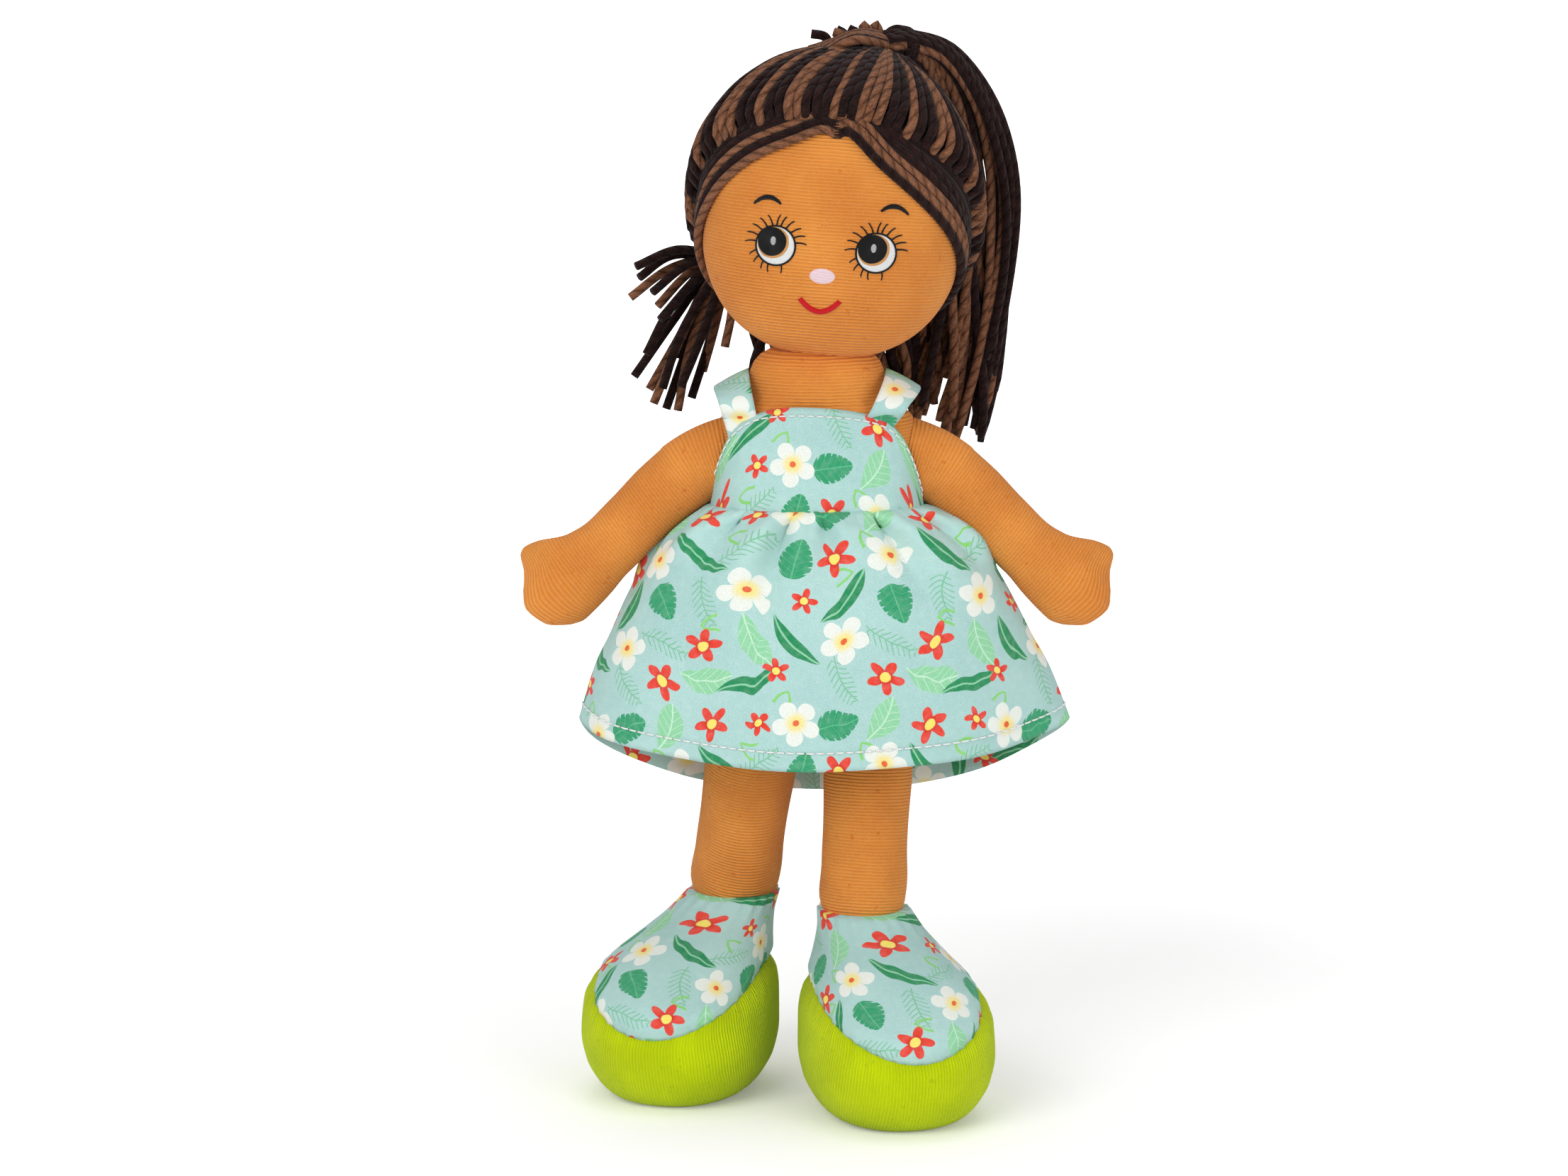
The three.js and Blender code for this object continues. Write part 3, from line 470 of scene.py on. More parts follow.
class Graph:
    """A material's node tree, built by expressions."""

    def __init__(self, name: str) -> None:
        """Starts a material of that name with a shader and an output."""
        self.material = bpy.data.materials.new(name)
        self.material.use_nodes = True
        self.tree = self.material.node_tree
        self.tree.nodes.clear()
        self.shader = self.tree.nodes.new("ShaderNodeBsdfPrincipled")
        output = self.tree.nodes.new("ShaderNodeOutputMaterial")
        self.tree.links.new(self.shader.outputs["BSDF"], output.inputs["Surface"])

    def node(
        self, kind: str, settings: dict[str, Any] | None = None, values: dict[Any, Any] | None = None
    ) -> bpy.types.Node:
        """Adds a node.

        Args:
            kind: The node's type.
            settings: Its settings, which are set first.
            values: The values or links of its sockets, by name or number.

        Returns:
            The node.
        """
        node = self.tree.nodes.new(kind)
        for key, value in (settings or {}).items():
            setattr(node, key, value)
        for key, value in (values or {}).items():
            self.feed(node.inputs[key], value)
        return node

    def feed(self, socket: bpy.types.NodeSocket, value: Any) -> None:
        """Links a socket to a wire or an output, or sets its number.

        Args:
            socket: The input.
            value: A number, a colour, a wire or an output.
        """
        if isinstance(value, Wire):
            value = value.socket
        if isinstance(value, bpy.types.NodeSocket):
            self.tree.links.new(value, socket)
        else:
            socket.default_value = value

    def math(self, operation: str, *values: Any) -> Wire:
        """A Math node on numbers or wires."""
        node = self.node("ShaderNodeMath", {"operation": operation}, dict(enumerate(values)))
        return Wire(self, node.outputs[0])

    def vector(self, operation: str, *values: Any) -> bpy.types.NodeSocket:
        """A Vector Math node, giving its vector."""
        node = self.node("ShaderNodeVectorMath", {"operation": operation}, dict(enumerate(values)))
        return node.outputs["Vector"]

    def parts(self, vector: bpy.types.NodeSocket) -> tuple[Wire, Wire, Wire]:
        """A vector's three numbers."""
        node = self.node("ShaderNodeSeparateXYZ", None, {0: vector})
        return Wire(self, node.outputs[0]), Wire(self, node.outputs[1]), Wire(self, node.outputs[2])

    def joined(self, x: Any, y: Any, z: Any = 0.0) -> bpy.types.NodeSocket:
        """Three numbers as a vector."""
        return self.node("ShaderNodeCombineXYZ", None, {0: x, 1: y, 2: z}).outputs[0]

    def step(self, value: Wire, low: float, high: float) -> Wire:
        """0 below low and 1 above high, smooth between. With low above high it falls instead."""
        node = self.node("ShaderNodeMapRange", {"interpolation_type": "SMOOTHSTEP", "clamp": True},
                         {"Value": value, "From Min": low, "From Max": high})
        return Wire(self, node.outputs["Result"])

    def noise(self, where: bpy.types.NodeSocket, scale: float, detail: float = 2.0) -> Wire:
        """Soft noise about one half."""
        node = self.node("ShaderNodeTexNoise", {"noise_dimensions": "3D"},
                         {"Vector": where, "Scale": scale, "Detail": detail})
        return Wire(self, node.outputs[0])

    def blend(self, share: Any, low: Any, high: Any, kind: str = "MIX") -> bpy.types.NodeSocket:
        """One colour mixed into another."""
        settings = {"data_type": "RGBA", "blend_type": kind}
        node = self.node("ShaderNodeMix", settings, {0: share, 6: low, 7: high})
        return node.outputs[2]

    def cloth(self) -> tuple[bpy.types.NodeSocket, Wire, Wire]:
        """The piece's cloth coordinates, as a vector and as two numbers."""
        vector = self.node("ShaderNodeUVMap", {"uv_map": CLOTH_MAP}).outputs[0]
        u, v, _ = self.parts(vector)
        return vector, u, v

    def place(self) -> bpy.types.NodeSocket:
        """Object coordinates."""
        return self.node("ShaderNodeTexCoord").outputs["Object"]

    def bump(
        self, height: Any, distance: float, strength: float = 1.0, under: Any = None
    ) -> bpy.types.NodeSocket:
        """Adds a Bump node.

        Args:
            height: What is high and low.
            distance: How far it stands out.
            strength: How much of it shows.
            under: The normal of another Bump node that it lies over.

        Returns:
            The new normal.
        """
        values = {"Strength": strength, "Distance": distance, "Height": height}
        node = self.node("ShaderNodeBump", None, values)
        if under is not None:
            self.feed(node.inputs["Normal"], under)
        return node.outputs[0]

    def finish(self, **sockets: Any) -> bpy.types.Material:
        """Feeds the shader's sockets, named with _ for a space, and gives the material."""
        for key, value in sockets.items():
            self.feed(self.shader.inputs[key.replace("_", " ")], value)
        return self.material


@dataclass(frozen=True)
class RibbedKnit:
    """A brushed weft knit, with fine ribs across the piece or along it."""

    name: str
    colour: str
    shade: str
    pitch: float = 1.08 * MM
    across: bool = True
    groove: float = 0.34 * MM
    fuzz: float = 0.13 * MM
    nap: float = 0.05

    def make(self) -> bpy.types.Material:
        """The finish as a material: ribs by a sine of the cloth's own length, bent by noise, with painted
        shade in their valleys.

        Returns:
            The material.
        """
        g = Graph(self.name)
        where = g.place()
        _, u, v = g.cloth()
        run = v if self.across else u
        sway = g.noise(where, 60.0) * (0.9 * MM)
        rib = g.math("SINE", (run + sway) * (2 * math.pi / self.pitch)) * 0.5 + 0.5
        nap = g.noise(where, 1500.0, 3.0)
        worn = g.noise(where, 38.0, 4.0)
        pill = g.step(g.noise(where, 330.0, 1.0), 0.70, 0.78)
        tone = g.blend(g.step(worn, 0.3, 0.72), linear(self.shade), linear(self.colour))
        # The rib valleys are painted darker with the shade colour: painted shade in the grooves, beside the
        # ribs' bump.
        tone = g.blend((1.0 - rib) * 0.3, tone, linear(self.shade), "MULTIPLY")
        tone = g.blend(g.step(nap, 0.45, 0.75) * self.nap, tone, linear("#ffe9cc"))
        tone = g.blend(pill * 0.3, tone, linear(self.shade), "MULTIPLY")
        ribs = g.bump(rib, self.groove)
        normal = g.bump(nap + pill * 0.6, self.fuzz, 0.8, ribs)
        return g.finish(Base_Color=tone, Roughness=0.95, Normal=normal, Sheen_Weight=0.08,
                        Sheen_Roughness=0.5, Specular_IOR_Level=0.1)


@dataclass(frozen=True)
class Yarn:
    """A plied yarn: slanting grooves between the plies, and loose fibres."""

    name: str
    colour: str
    shade: str
    plies: int = 2
    pitch: float = 5.2 * MM

    def make(self) -> bpy.types.Material:
        """The finish as a material, read round the yarn and along it.

        Returns:
            The material.
        """
        g = Graph(self.name)
        _, u, v = g.cloth()
        turn = (u * self.plies + v / self.pitch) * math.pi
        ply = abs(g.math("SINE", turn)) ** 0.6
        fibre = g.noise(g.joined(u * 7.0 + v / self.pitch * 3.5, v * 260.0), 3.0, 3.0)
        strand = g.noise(g.joined(v * 35.0, 0.0, v * 12.0), 1.0, 1.0)
        tone = g.blend(g.step(fibre, 0.3, 0.75), linear(self.shade), linear(self.colour))
        tone = g.blend(g.step(strand, 0.35, 0.7) * 0.35, tone, linear(self.colour))
        # The grooves between the plies are painted darker: painted shade, beside the plies' bump.
        tone = g.blend((1.0 - ply) * 0.6, tone, linear(self.shade), "MULTIPLY")
        plied = g.bump(ply, 0.7 * MM)
        return g.finish(Base_Color=tone, Roughness=0.95, Normal=g.bump(fibre, 0.25 * MM, 0.7, plied),
                        Sheen_Weight=0.06, Sheen_Roughness=0.5, Specular_IOR_Level=0.08)


@dataclass(frozen=True)
class Thread:
    """Satin stitch: fine close threads side by side."""

    name: str
    colour: str
    shade: str
    pitch: float = 0.42 * MM
    around: float = 0.0

    def make(self) -> bpy.types.Material:
        """The finish as a material. With around above 0 that many threads fan out from the middle.

        Returns:
            The material.
        """
        g = Graph(self.name)
        _, u, v = g.cloth()
        run = g.math("ARCTAN2", v, u) * (self.around / 2) if self.around else v * (math.pi / self.pitch)
        thread = abs(g.math("SINE", run))
        uneven = g.noise(g.place(), 900.0, 1.0)
        # Between the threads the colour is painted darker: painted shade in the grooves, with a little random
        # unevenness.
        tone = g.blend((1.0 - thread) * 0.55 + uneven * 0.15, linear(self.colour), linear(self.shade))
        return g.finish(Base_Color=tone, Roughness=0.5, Normal=g.bump(thread, 0.12 * MM),
                        Specular_IOR_Level=0.12, Sheen_Weight=0.1)


@dataclass(frozen=True)
class FloralCotton:
    """Plain-weave cotton with a scattered print of flowers and leaves, laid out in one square repeat.

    Every motif is a formula in its own place and turn, in millimetres. A place is given as shares of
    the repeat, and a turn in degrees.
    """

    name: str = "printed_cotton"
    repeat: float = 68.0
    thread_pitch: float = 0.55 * MM
    edge: float = 0.28
    ground: str = "#aed3ce"
    white_flower_places: Table = ((0.10, 0.11, 10), (0.69, 0.33, 40), (0.29, 0.52, 0), (0.88, 0.73, 25))
    red_flower_places: Table = ((0.49, 0.10, 0), (0.07, 0.50, 20), (0.49, 0.72, 35), (0.28, 0.93, 10))
    small_flower_places: Table = ((0.93, 0.30, 0), (0.71, 0.73, 30), (0.80, 0.98, 50))
    lance_places: Table = ((0.87, 0.10, 50), (0.12, 0.30, -52), (0.50, 0.51, 38), (0.68, 0.90, -24))
    broad_leaf_places: Table = ((0.32, 0.29, 70), (0.90, 0.50, -75), (0.07, 0.72, -10))
    pale_leaf_places: Table = ((0.70, 0.10, 62), (0.28, 0.72, -62), (0.48, 0.93, 15))
    fern_places: Table = ((0.30, 0.10, 22), (0.70, 0.54, -32), (0.09, 0.92, 65), (0.52, 0.30, 80))
    sprig_places: Table = (
        (0.50, 0.20, 0), (0.18, 0.62, 60), (0.85, 0.88, 120), (0.14, 0.42, 170), (0.62, 0.62, 20),
    )

    def nearest(self, g: Graph, where: bpy.types.NodeSocket, places: Table) -> tuple[Wire, Wire]:
        """A point's place in the frame of the nearest of some motifs, in millimetres.

        Args:
            g: The graph.
            where: The point on the cloth, in millimetres.
            places: The motifs' places and turns.

        Returns:
            The point's two numbers in that motif's own frame.
        """
        half = self.repeat / 2
        best = turn = reach = None
        for x, y, degrees in places:
            away = g.vector("SUBTRACT", where, (x * self.repeat, y * self.repeat, 0.0))
            away = g.vector("WRAP", away, (half, half, half), (-half, -half, -half))
            u, v, _ = g.parts(away)
            length = u * u + v * v
            if best is None:
                best, turn, reach = away, math.radians(degrees), length
                continue
            closer = g.math("LESS_THAN", length, reach)
            node = g.node("ShaderNodeMix", {"data_type": "VECTOR"}, {0: closer, 4: best, 5: away})
            best = node.outputs[1]
            turn = closer * math.radians(degrees) + (1.0 - closer) * turn
            reach = g.math("MINIMUM", length, reach)
        values = {"Vector": best, "Angle": turn}
        node = g.node("ShaderNodeVectorRotate", {"rotation_type": "Z_AXIS"}, values)
        u, v, _ = g.parts(node.outputs[0])
        return u, v

    def petals(
        self, g: Graph, u: Wire, v: Wire, size: float, waist: float, sharp: float
    ) -> tuple[Wire, Wire]:
        """Measures a point against a five-petalled outline.

        Args:
            g: The graph.
            u: The point's first number in the flower's frame.
            v: Its second number.
            size: The flower's radius.
            waist: The outline's radius between two petals, as a share of the size.
            sharp: How pointed the petals are.

        Returns:
            How far inside the outline the point lies, and its distance from the middle.
        """
        reach = g.math("SQRT", u * u + v * v)
        lobe = abs(g.math("COSINE", g.math("ARCTAN2", v, u) * 2.5)) ** sharp
        return (lobe * (1 - waist) + waist) * size - reach, reach

    def make(self) -> bpy.types.Material:
        """The finish as a material, with the motifs laid over each other and a woven surface.

        Returns:
            The material.
        """
        g = Graph(self.name)
        cloth, cu, cv = g.cloth()
        where = g.vector("MULTIPLY", cloth, (1000.0, 1000.0, 0.0))
        worn = g.noise(g.place(), 30.0, 3.0)
        tone = g.blend(g.step(worn, 0.3, 0.7), linear("#a4cbc7"), linear(self.ground))
        edge = self.edge

        # Ferns: a bent stem, with slanting leaflets inside a half ellipse on each side.
        u, v = self.nearest(g, where, self.fern_places)
        stem = g.step(abs(v - u * u * 0.02), 0.3, 0.12) * g.step(abs(u), 8.6, 8.2)
        leaflet_reach = g.math("SQRT", g.math("MAXIMUM", 1.0 - (u / 8.4) * (u / 8.4), 0.0)) * 3.4
        slant = g.step(abs(g.math("SINE", (u - abs(v) * 0.75) * 1.7)), 0.5, 0.26)
        leaflet = slant * g.step(leaflet_reach - abs(v), 0.0, edge)
        tone = g.blend(g.math("MAXIMUM", stem, leaflet) * 0.8, tone, linear("#6db98c"))

        # Sprigs: two curled lines that spread from one foot.
        u, v = self.nearest(g, where, self.sprig_places)
        away = abs(abs(v) - u * 0.62 - g.math("SINE", u * 0.9) * 0.5)
        curl = g.step(away, 0.6, 0.34) * g.step(abs(u - 2.3), 2.9, 2.5)
        tone = g.blend(curl, tone, linear("#86cf72"))

        # Pale leaves: a bent lens with veins.
        u, v = self.nearest(g, where, self.pale_leaf_places)
        bent = v - u * u * 0.025
        leaf = (1.0 - (u / 8.6) * (u / 8.6)) * 4.3 * (1.0 + u * 0.035) - abs(bent)
        vein = g.math("MAXIMUM", g.step(abs(bent), 0.34, 0.14),
                      g.step(abs(g.math("SINE", (u - abs(bent) * 0.9) * 1.15)), 0.2, 0.06))
        pale = g.blend(vein * 0.8, linear("#8fd0a2"), linear("#c9ecd4"))
        tone = g.blend(g.step(leaf, 0.0, edge), tone, pale)

        # Broad leaves: an oval with cuts along its edge.
        u, v = self.nearest(g, where, self.broad_leaf_places)
        lobes = 0.82 + 0.18 * g.step(abs(g.math("SINE", (u - abs(v) * 0.55) * 1.5)), 0.15, 0.5)
        oval = g.math("MAXIMUM", 1.0 - (u / 6.4) * (u / 6.4), 0.0) ** 0.5
        broad = oval * lobes * (4.9 - u * 0.22) - abs(v)
        vein = g.math("MAXIMUM", g.step(abs(v), 0.3, 0.12),
                      g.step(abs(g.math("SINE", (u - abs(v) * 0.6) * 1.5)), 0.14, 0.04))
        deep = g.blend(vein * 0.45, linear("#2f9a6b"), linear("#7ccf9f"))
        tone = g.blend(g.step(broad, 0.0, edge), tone, deep)

        # Long leaves: a narrow bent lens with one vein.
        u, v = self.nearest(g, where, self.lance_places)
        bent = v - (u / 10.5) * (u / 10.5) * 2.6
        lance = (1.0 - abs(u / 10.8) ** 2.4) * 2.5 - abs(bent)
        dark = g.blend(g.step(abs(bent), 0.42, 0.14) * 0.75, linear("#1f8a56"), linear("#9fdcb8"))
        tone = g.blend(g.step(lance, 0.0, edge), tone, dark)

        # White flowers: five round petals, yellow towards an orange middle.
        u, v = self.nearest(g, where, self.white_flower_places)
        inside, reach = self.petals(g, u, v, 7.6, 0.42, 0.5)
        parting = g.step(abs(g.math("COSINE", g.math("ARCTAN2", v, u) * 2.5)), 0.22, 0.0) * 0.35
        petal = g.blend(parting, linear("#e6ebe3"), linear("#bcd3cd"))
        petal = g.blend(g.step(reach, 4.3, 1.2), petal, linear("#f1e08a"))
        petal = g.blend(g.step(reach, 1.15, 0.85), petal, linear("#e4602a"))
        tone = g.blend(g.step(inside, 0.0, edge), tone, petal)

        # Red flowers in two sizes: five pointed petals about a yellow middle.
        for places, size in ((self.red_flower_places, 6.0), (self.small_flower_places, 4.3)):
            u, v = self.nearest(g, where, places)
            inside, reach = self.petals(g, u, v, size, 0.4, 1.5)
            petal = g.blend(g.step(reach, size * 0.55, size * 0.2), linear("#e2402f"), linear("#c92a22"))
            petal = g.blend(g.step(reach, size * 0.3, size * 0.24), petal, linear("#f3e06a"))
            tone = g.blend(g.step(inside, 0.0, edge), tone, petal)

        thread = 2 * math.pi / self.thread_pitch
        weave = g.math("SINE", cu * thread) * g.math("SINE", cv * thread)
        slub = g.noise(cloth, 420.0, 3.0)
        tone = g.blend(g.step(slub, 0.35, 0.8) * 0.07, tone, linear("#ffffff"))
        normal = g.bump(slub, 0.12 * MM, 0.6, g.bump(weave, 0.05 * MM))
        return g.finish(Base_Color=tone, Roughness=0.82, Normal=normal, Sheen_Weight=0.12,
                        Specular_IOR_Level=0.25)


@dataclass(frozen=True)
class Tape:
    """Hook and loop tape: a napped or hooked surface in a fine pattern."""

    name: str
    colour: str

    def make(self) -> bpy.types.Material:
        """The finish as a material.

        Returns:
            The material.
        """
        g = Graph(self.name)
        where = g.place()
        loops = g.noise(where, 1100.0, 3.0)
        tone = g.blend(loops, linear("#bfcac7"), linear(self.colour))
        return g.finish(Base_Color=tone, Roughness=0.9, Normal=g.bump(loops, 0.3 * MM), Sheen_Weight=0.2)


class Finishes:
    """Every material of the doll, made once."""

    def __init__(self) -> None:
        """Makes them."""
        self.skin = RibbedKnit("skin_knit", "#e89a46", "#d7873a").make()
        self.sole = RibbedKnit(
            "sole_knit", "#cde000", "#b9cd00", across=False, fuzz=0.05 * MM, nap=0.0
        ).make()
        self.print = FloralCotton().make()
        self.dark_yarn = Yarn("dark_yarn", "#331e1b", "#0f0808").make()
        self.brown_yarn = Yarn("brown_yarn", "#94654a", "#5a3826").make()
        self.white_thread = Thread("white_thread", "#f2f3f1", "#9a9da3", around=80).make()
        self.sewing_thread = Thread("sewing_thread", "#f3f6f4", "#cfd6d6").make()
        self.black_thread = Thread("black_thread", "#0c0c0e", "#020203", around=72).make()
        self.line_thread = Thread("black_line_thread", "#0e0e10", "#030304").make()
        self.red_thread = Thread("red_thread", "#d5121f", "#8c0812").make()
        self.pink_thread = Thread("pink_thread", "#efdbe0", "#c692a4").make()
        self.ring_thread = Thread("tan_ring_thread", "#d39a5c", "#a06a38", around=64).make()
        self.tape = Tape("fastener_strip", "#dfe9e6").make()


# Shape tools


def own_uv(points: np.ndarray) -> np.ndarray:
    """Cloth coordinates of rings: each one's arc length from its middle, and the slant length down.

    Args:
        points: The grid, shaped (rows, columns, 3), with the seam at the first column.

    Returns:
        The coordinates, shaped (rows, columns + 1, 2).
    """
    grid = looped(points, 1)
    arc = run_along(grid, 1)
    return np.stack([arc - arc[:, -1:] / 2, -run_along(grid)], axis=2)


def stitch_routes(
    path: np.ndarray, out: np.ndarray, length: float, space: float
) -> tuple[np.ndarray, np.ndarray]:
    """Places running stitches along a path, each rising from the cloth and going back into it.

    Args:
        path: Points along the seam, shaped (points, 3).
        out: The direction away from the cloth at each point.
        length: Length of a stitch.
        space: Length between stitches.

    Returns:
        The stitches' centre lines and their up directions, shaped (stitches, 4, 3).
    """
    run = run_along(path)
    starts = np.arange(0, run[-1] - length, length + space)
    places = starts[:, None] + length * np.linspace(0, 1, len(STITCH_RISE))
    at = np.stack([np.interp(places, run, path[:, k]) for k in range(3)], axis=2)
    up = unit(np.stack([np.interp(places, run, out[:, k]) for k in range(3)], axis=2))
    return at + up * (np.array(STITCH_RISE) * MM)[:, None], up


def seeded(seed: int) -> np.random.Generator:
    """A source of numbers that gives the same ones in every run."""
    return np.random.default_rng(seed)


def disc_spread(count: int) -> np.ndarray:
    """Points spread evenly over a disc of radius 1, along a sunflower's spiral."""
    place = np.arange(count) + 0.5
    turn = place * math.pi * (3 - math.sqrt(5))
    return np.stack([np.cos(turn), np.sin(turn)], axis=1) * np.sqrt(place / count)[:, None]


# Shoes, legs and arms

# A shoe's half length and half width by its height, all as shares.
FOOT_SHARES = (
    (0.0, 0.66, 0.58), (0.02, 0.745, 0.675), (0.06, 0.825, 0.78), (0.12, 0.895, 0.87), (0.2, 0.955, 0.95),
    (0.34, 1.0, 1.0), (0.5, 0.97, 0.99), (0.64, 0.84, 0.9), (0.78, 0.66, 0.71), (0.9, 0.49, 0.56),
    (1.0, 0.385, 0.475),
)


@dataclass
class Shoe:
    """A soft stuffed shoe: a knit sole piece up to a seam, and a cotton upper gathered at the ankle.

    Its form is a superellipse at each height, whose half length and half width follow a table of shares.
    """

    finishes: Finishes
    side: Side
    ankle: Pair
    yaw: float
    shift: float
    height: float = 63 * MM
    half_length: float = 40 * MM
    half_width: float = 31 * MM
    heel_behind: float = 19 * MM
    toe_seam: float = 25 * MM
    side_seam: float = 42 * MM
    power: float = 2.2
    toe_width_share: float = 0.1
    columns: int = 120
    groove_depth: float = 1.5 * MM
    groove_width: float = 2.2 * MM
    pucker_depth: float = 0.32 * MM
    pucker_width: float = 7 * MM
    pucker_count: int = 46
    gather_depth: float = 0.5 * MM
    gather_count: int = 22
    fan_radius: float = 20 * MM
    print_shift: Pair = (31 * MM, 12 * MM)

    def surface(self, angle: np.ndarray, height: np.ndarray, inset: np.ndarray | float = 0.0) -> np.ndarray:
        """Points of the shoe by angle from the toe and height, drawn in by an inset, in the model's frame.

        Args:
            angle: The angles from the toe.
            height: The heights.
            inset: How far the points are drawn in.

        Returns:
            The points, in the model's frame.
        """
        share = height / self.height
        length = self.half_length * eased(FOOT_SHARES, share, 1)
        width = self.half_width * eased(FOOT_SHARES, share, 2) - inset
        heel_share = np.minimum(1.0, (self.height - height) / (self.height - self.side_seam))
        rim_length = self.half_length * FOOT_SHARES[-1][1]
        heel = rim_length + (self.heel_behind - rim_length) * heel_share
        centre = np.where(share < 0.34, self.heel_behind - self.half_length, heel - length)
        toe, across = np.cos(angle), np.sin(angle)
        reach = superellipse(angle, self.power)
        x = self.shift * heel_share + width * reach * across * (1 + self.toe_width_share * toe)
        y = centre - (length - inset) * reach * toe
        local = np.stack(np.broadcast_arrays(x, y, height), axis=-1)
        return turned(local, about_z(math.radians(self.yaw)), np.array([*self.ankle, 0.0]))

    def seam(self, angle: np.ndarray) -> np.ndarray:
        """The seam's height round the foot: low at the toe, and level from the sides back."""
        side_share = np.where(np.cos(angle) > 0, np.sin(angle) ** 2, 1.0)
        return self.toe_seam + (self.side_seam - self.toe_seam) * side_share

    def drawn_in(self, angle: np.ndarray, away: np.ndarray) -> np.ndarray:
        """How far the sewn seam and its puckers draw the cloth in, at a distance from the seam."""
        groove = self.groove_depth * bell(away, self.groove_width)
        pucker = self.pucker_depth * np.cos(self.pucker_count * angle) * bell(away, self.pucker_width)
        return groove + pucker

    def grid(self, low: np.ndarray, high: np.ndarray, shares: np.ndarray, extra: Any = 0.0) -> np.ndarray:
        """Lays out a part of the shoe.

        Args:
            low: Its lower edge's height at each angle.
            high: Its upper edge's height at each angle.
            shares: Where its rows lie between the two edges.
            extra: How much further it is drawn in.

        Returns:
            The points, shaped (rows, columns, 3).
        """
        angle = np.linspace(-math.pi, math.pi, self.columns, endpoint=False)
        height = low + (high - low) * shares[:, None]
        inset = self.drawn_in(angle, self.seam(angle) - height) + extra
        return self.surface(angle + 0 * height, height, inset)

    def upper_uv(self, upper: np.ndarray) -> np.ndarray:
        """Cloth coordinates of the upper, laid out flat as a fan that opens from its rim to its seam.

        Args:
            upper: The upper's points, shaped (rows, columns, 3).

        Returns:
            The coordinates, shaped (rows, columns + 1, 2).
        """
        down = looped(upper, 1)[::-1]
        reach = self.fan_radius + run_along(down)
        steps = np.linalg.norm(np.diff(down[-1], axis=0), axis=1)
        turn = np.concatenate([[0], np.cumsum(steps / reach[-1, 1:])])
        turn = turn - turn[-1] / 2
        uv = np.stack([reach * np.sin(turn), -reach * np.cos(turn)], axis=2)[::-1]
        return uv + np.array([self.print_shift[0] * self.side.value, self.print_shift[1]])

    def build(self) -> None:
        """Makes the sole piece and the upper."""
        angle = np.linspace(-math.pi, math.pi, self.columns, endpoint=False)
        seam = self.seam(angle)
        word = self.side.word
        body = f"{word}_foot"
        shares = np.concatenate([[0, 0.008, 0.02, 0.045], np.linspace(0.08, 1, 30)])
        sole = self.grid(0 * seam, seam, shares)
        piece = skin(f"{word}_sole_piece", sole, own_uv(sole))
        give(piece, self.finishes.sole, "sole_knit", body, f"{word}_shoe_sole", f"{word}_foot_stuffing")

        shares = np.linspace(0, 1, 30)
        rim = np.full(self.columns, self.height)
        near_rim = np.clip((shares[:, None] - 0.72) / 0.28, 0, 1)
        gather = self.gather_depth * np.cos(self.gather_count * angle) * near_rim
        upper = self.grid(seam + 0.05 * MM, rim, shares, gather)
        piece = skin(f"{word}_shoe_top", upper, self.upper_uv(upper))
        give(piece, self.finishes.print, "printed_cotton", body, f"{word}_shoe_upper")


@dataclass
class Leg:
    """A stuffed leg: an even knit tube between two domes, with slight creases where it is sewn on."""

    finishes: Finishes
    side: Side
    hip: np.ndarray
    ankle: np.ndarray
    radius: float = 14.2 * MM
    inset: float = 0.25 * MM
    rows: int = 58
    columns: int = 56

    def build(self) -> None:
        """Makes the leg, as circles along the line from hip to ankle with a dome at each end."""
        down = self.ankle - self.hip
        length = float(np.linalg.norm(down))
        lift = unit(down)
        side = unit(np.cross(lift, np.array([0.0, 1.0, 0.0])))
        fore = np.cross(lift, side)
        dome = np.linspace(0.08, 1, 9) * math.pi / 2
        over, size = self.radius * np.cos(dome), self.radius * np.sin(dome)
        tube = np.linspace(0, length, self.rows + 2)[1:-1]
        run = np.concatenate([-over, tube, length + over[::-1]])
        size = np.concatenate([size, np.full(self.rows, self.radius), size[::-1]])[:, None]
        angle = ring_angles(self.columns)
        share = run[:, None] / length
        crease = 0.35 * MM * np.sin(5 * angle + 9 * share) * bell(share - 0.93, 0.1)
        full = 0.5 * MM * np.sin(share * math.pi).clip(0, 1) * np.sin(2 * angle + 6 * share)
        between = (share > 0) & (share < 1)
        reach = np.where(between, size + crease + full, size) - self.inset
        ring = np.cos(angle)[None, :, None] * side + np.sin(angle)[None, :, None] * fore
        points = self.hip + run[:, None, None] * lift + reach[..., None] * ring
        word = self.side.word
        piece = skin(f"{word}_leg_knit", points, ring_uv(points, run))
        nodes = (f"{word}_leg_cover", f"{word}_leg_stuffing")
        give(piece, self.finishes.skin, "skin_knit", f"{word}_leg", *nodes)


# An arm's half width, half depth and shift across by its length, all as shares.
ARM_SHARES = (
    (0.0, 0.81, 1.18, 0.0), (0.16, 0.79, 1.17, 0.02), (0.38, 0.74, 1.16, 0.10), (0.54, 0.74, 1.14, 0.18),
    (0.66, 0.82, 1.12, 0.20), (0.82, 1.03, 1.08, 0.09), (0.91, 1.08, 0.94, 0.06), (0.96, 1.0, 0.74, 0.05),
    (0.988, 0.74, 0.5, 0.05), (1.0, 0.14, 0.1, 0.05),
)

# How much further than a flat end the hand reaches, in millimetres, by place across it.
HAND_END = (
    (-1.06, -2.6), (-0.93, -2.6), (-0.7, -2.2), (-0.49, -0.9), (-0.25, 2.4), (0.15, 5.2), (0.64, 3.8),
    (0.95, 0.2), (1.15, -2.4),
)


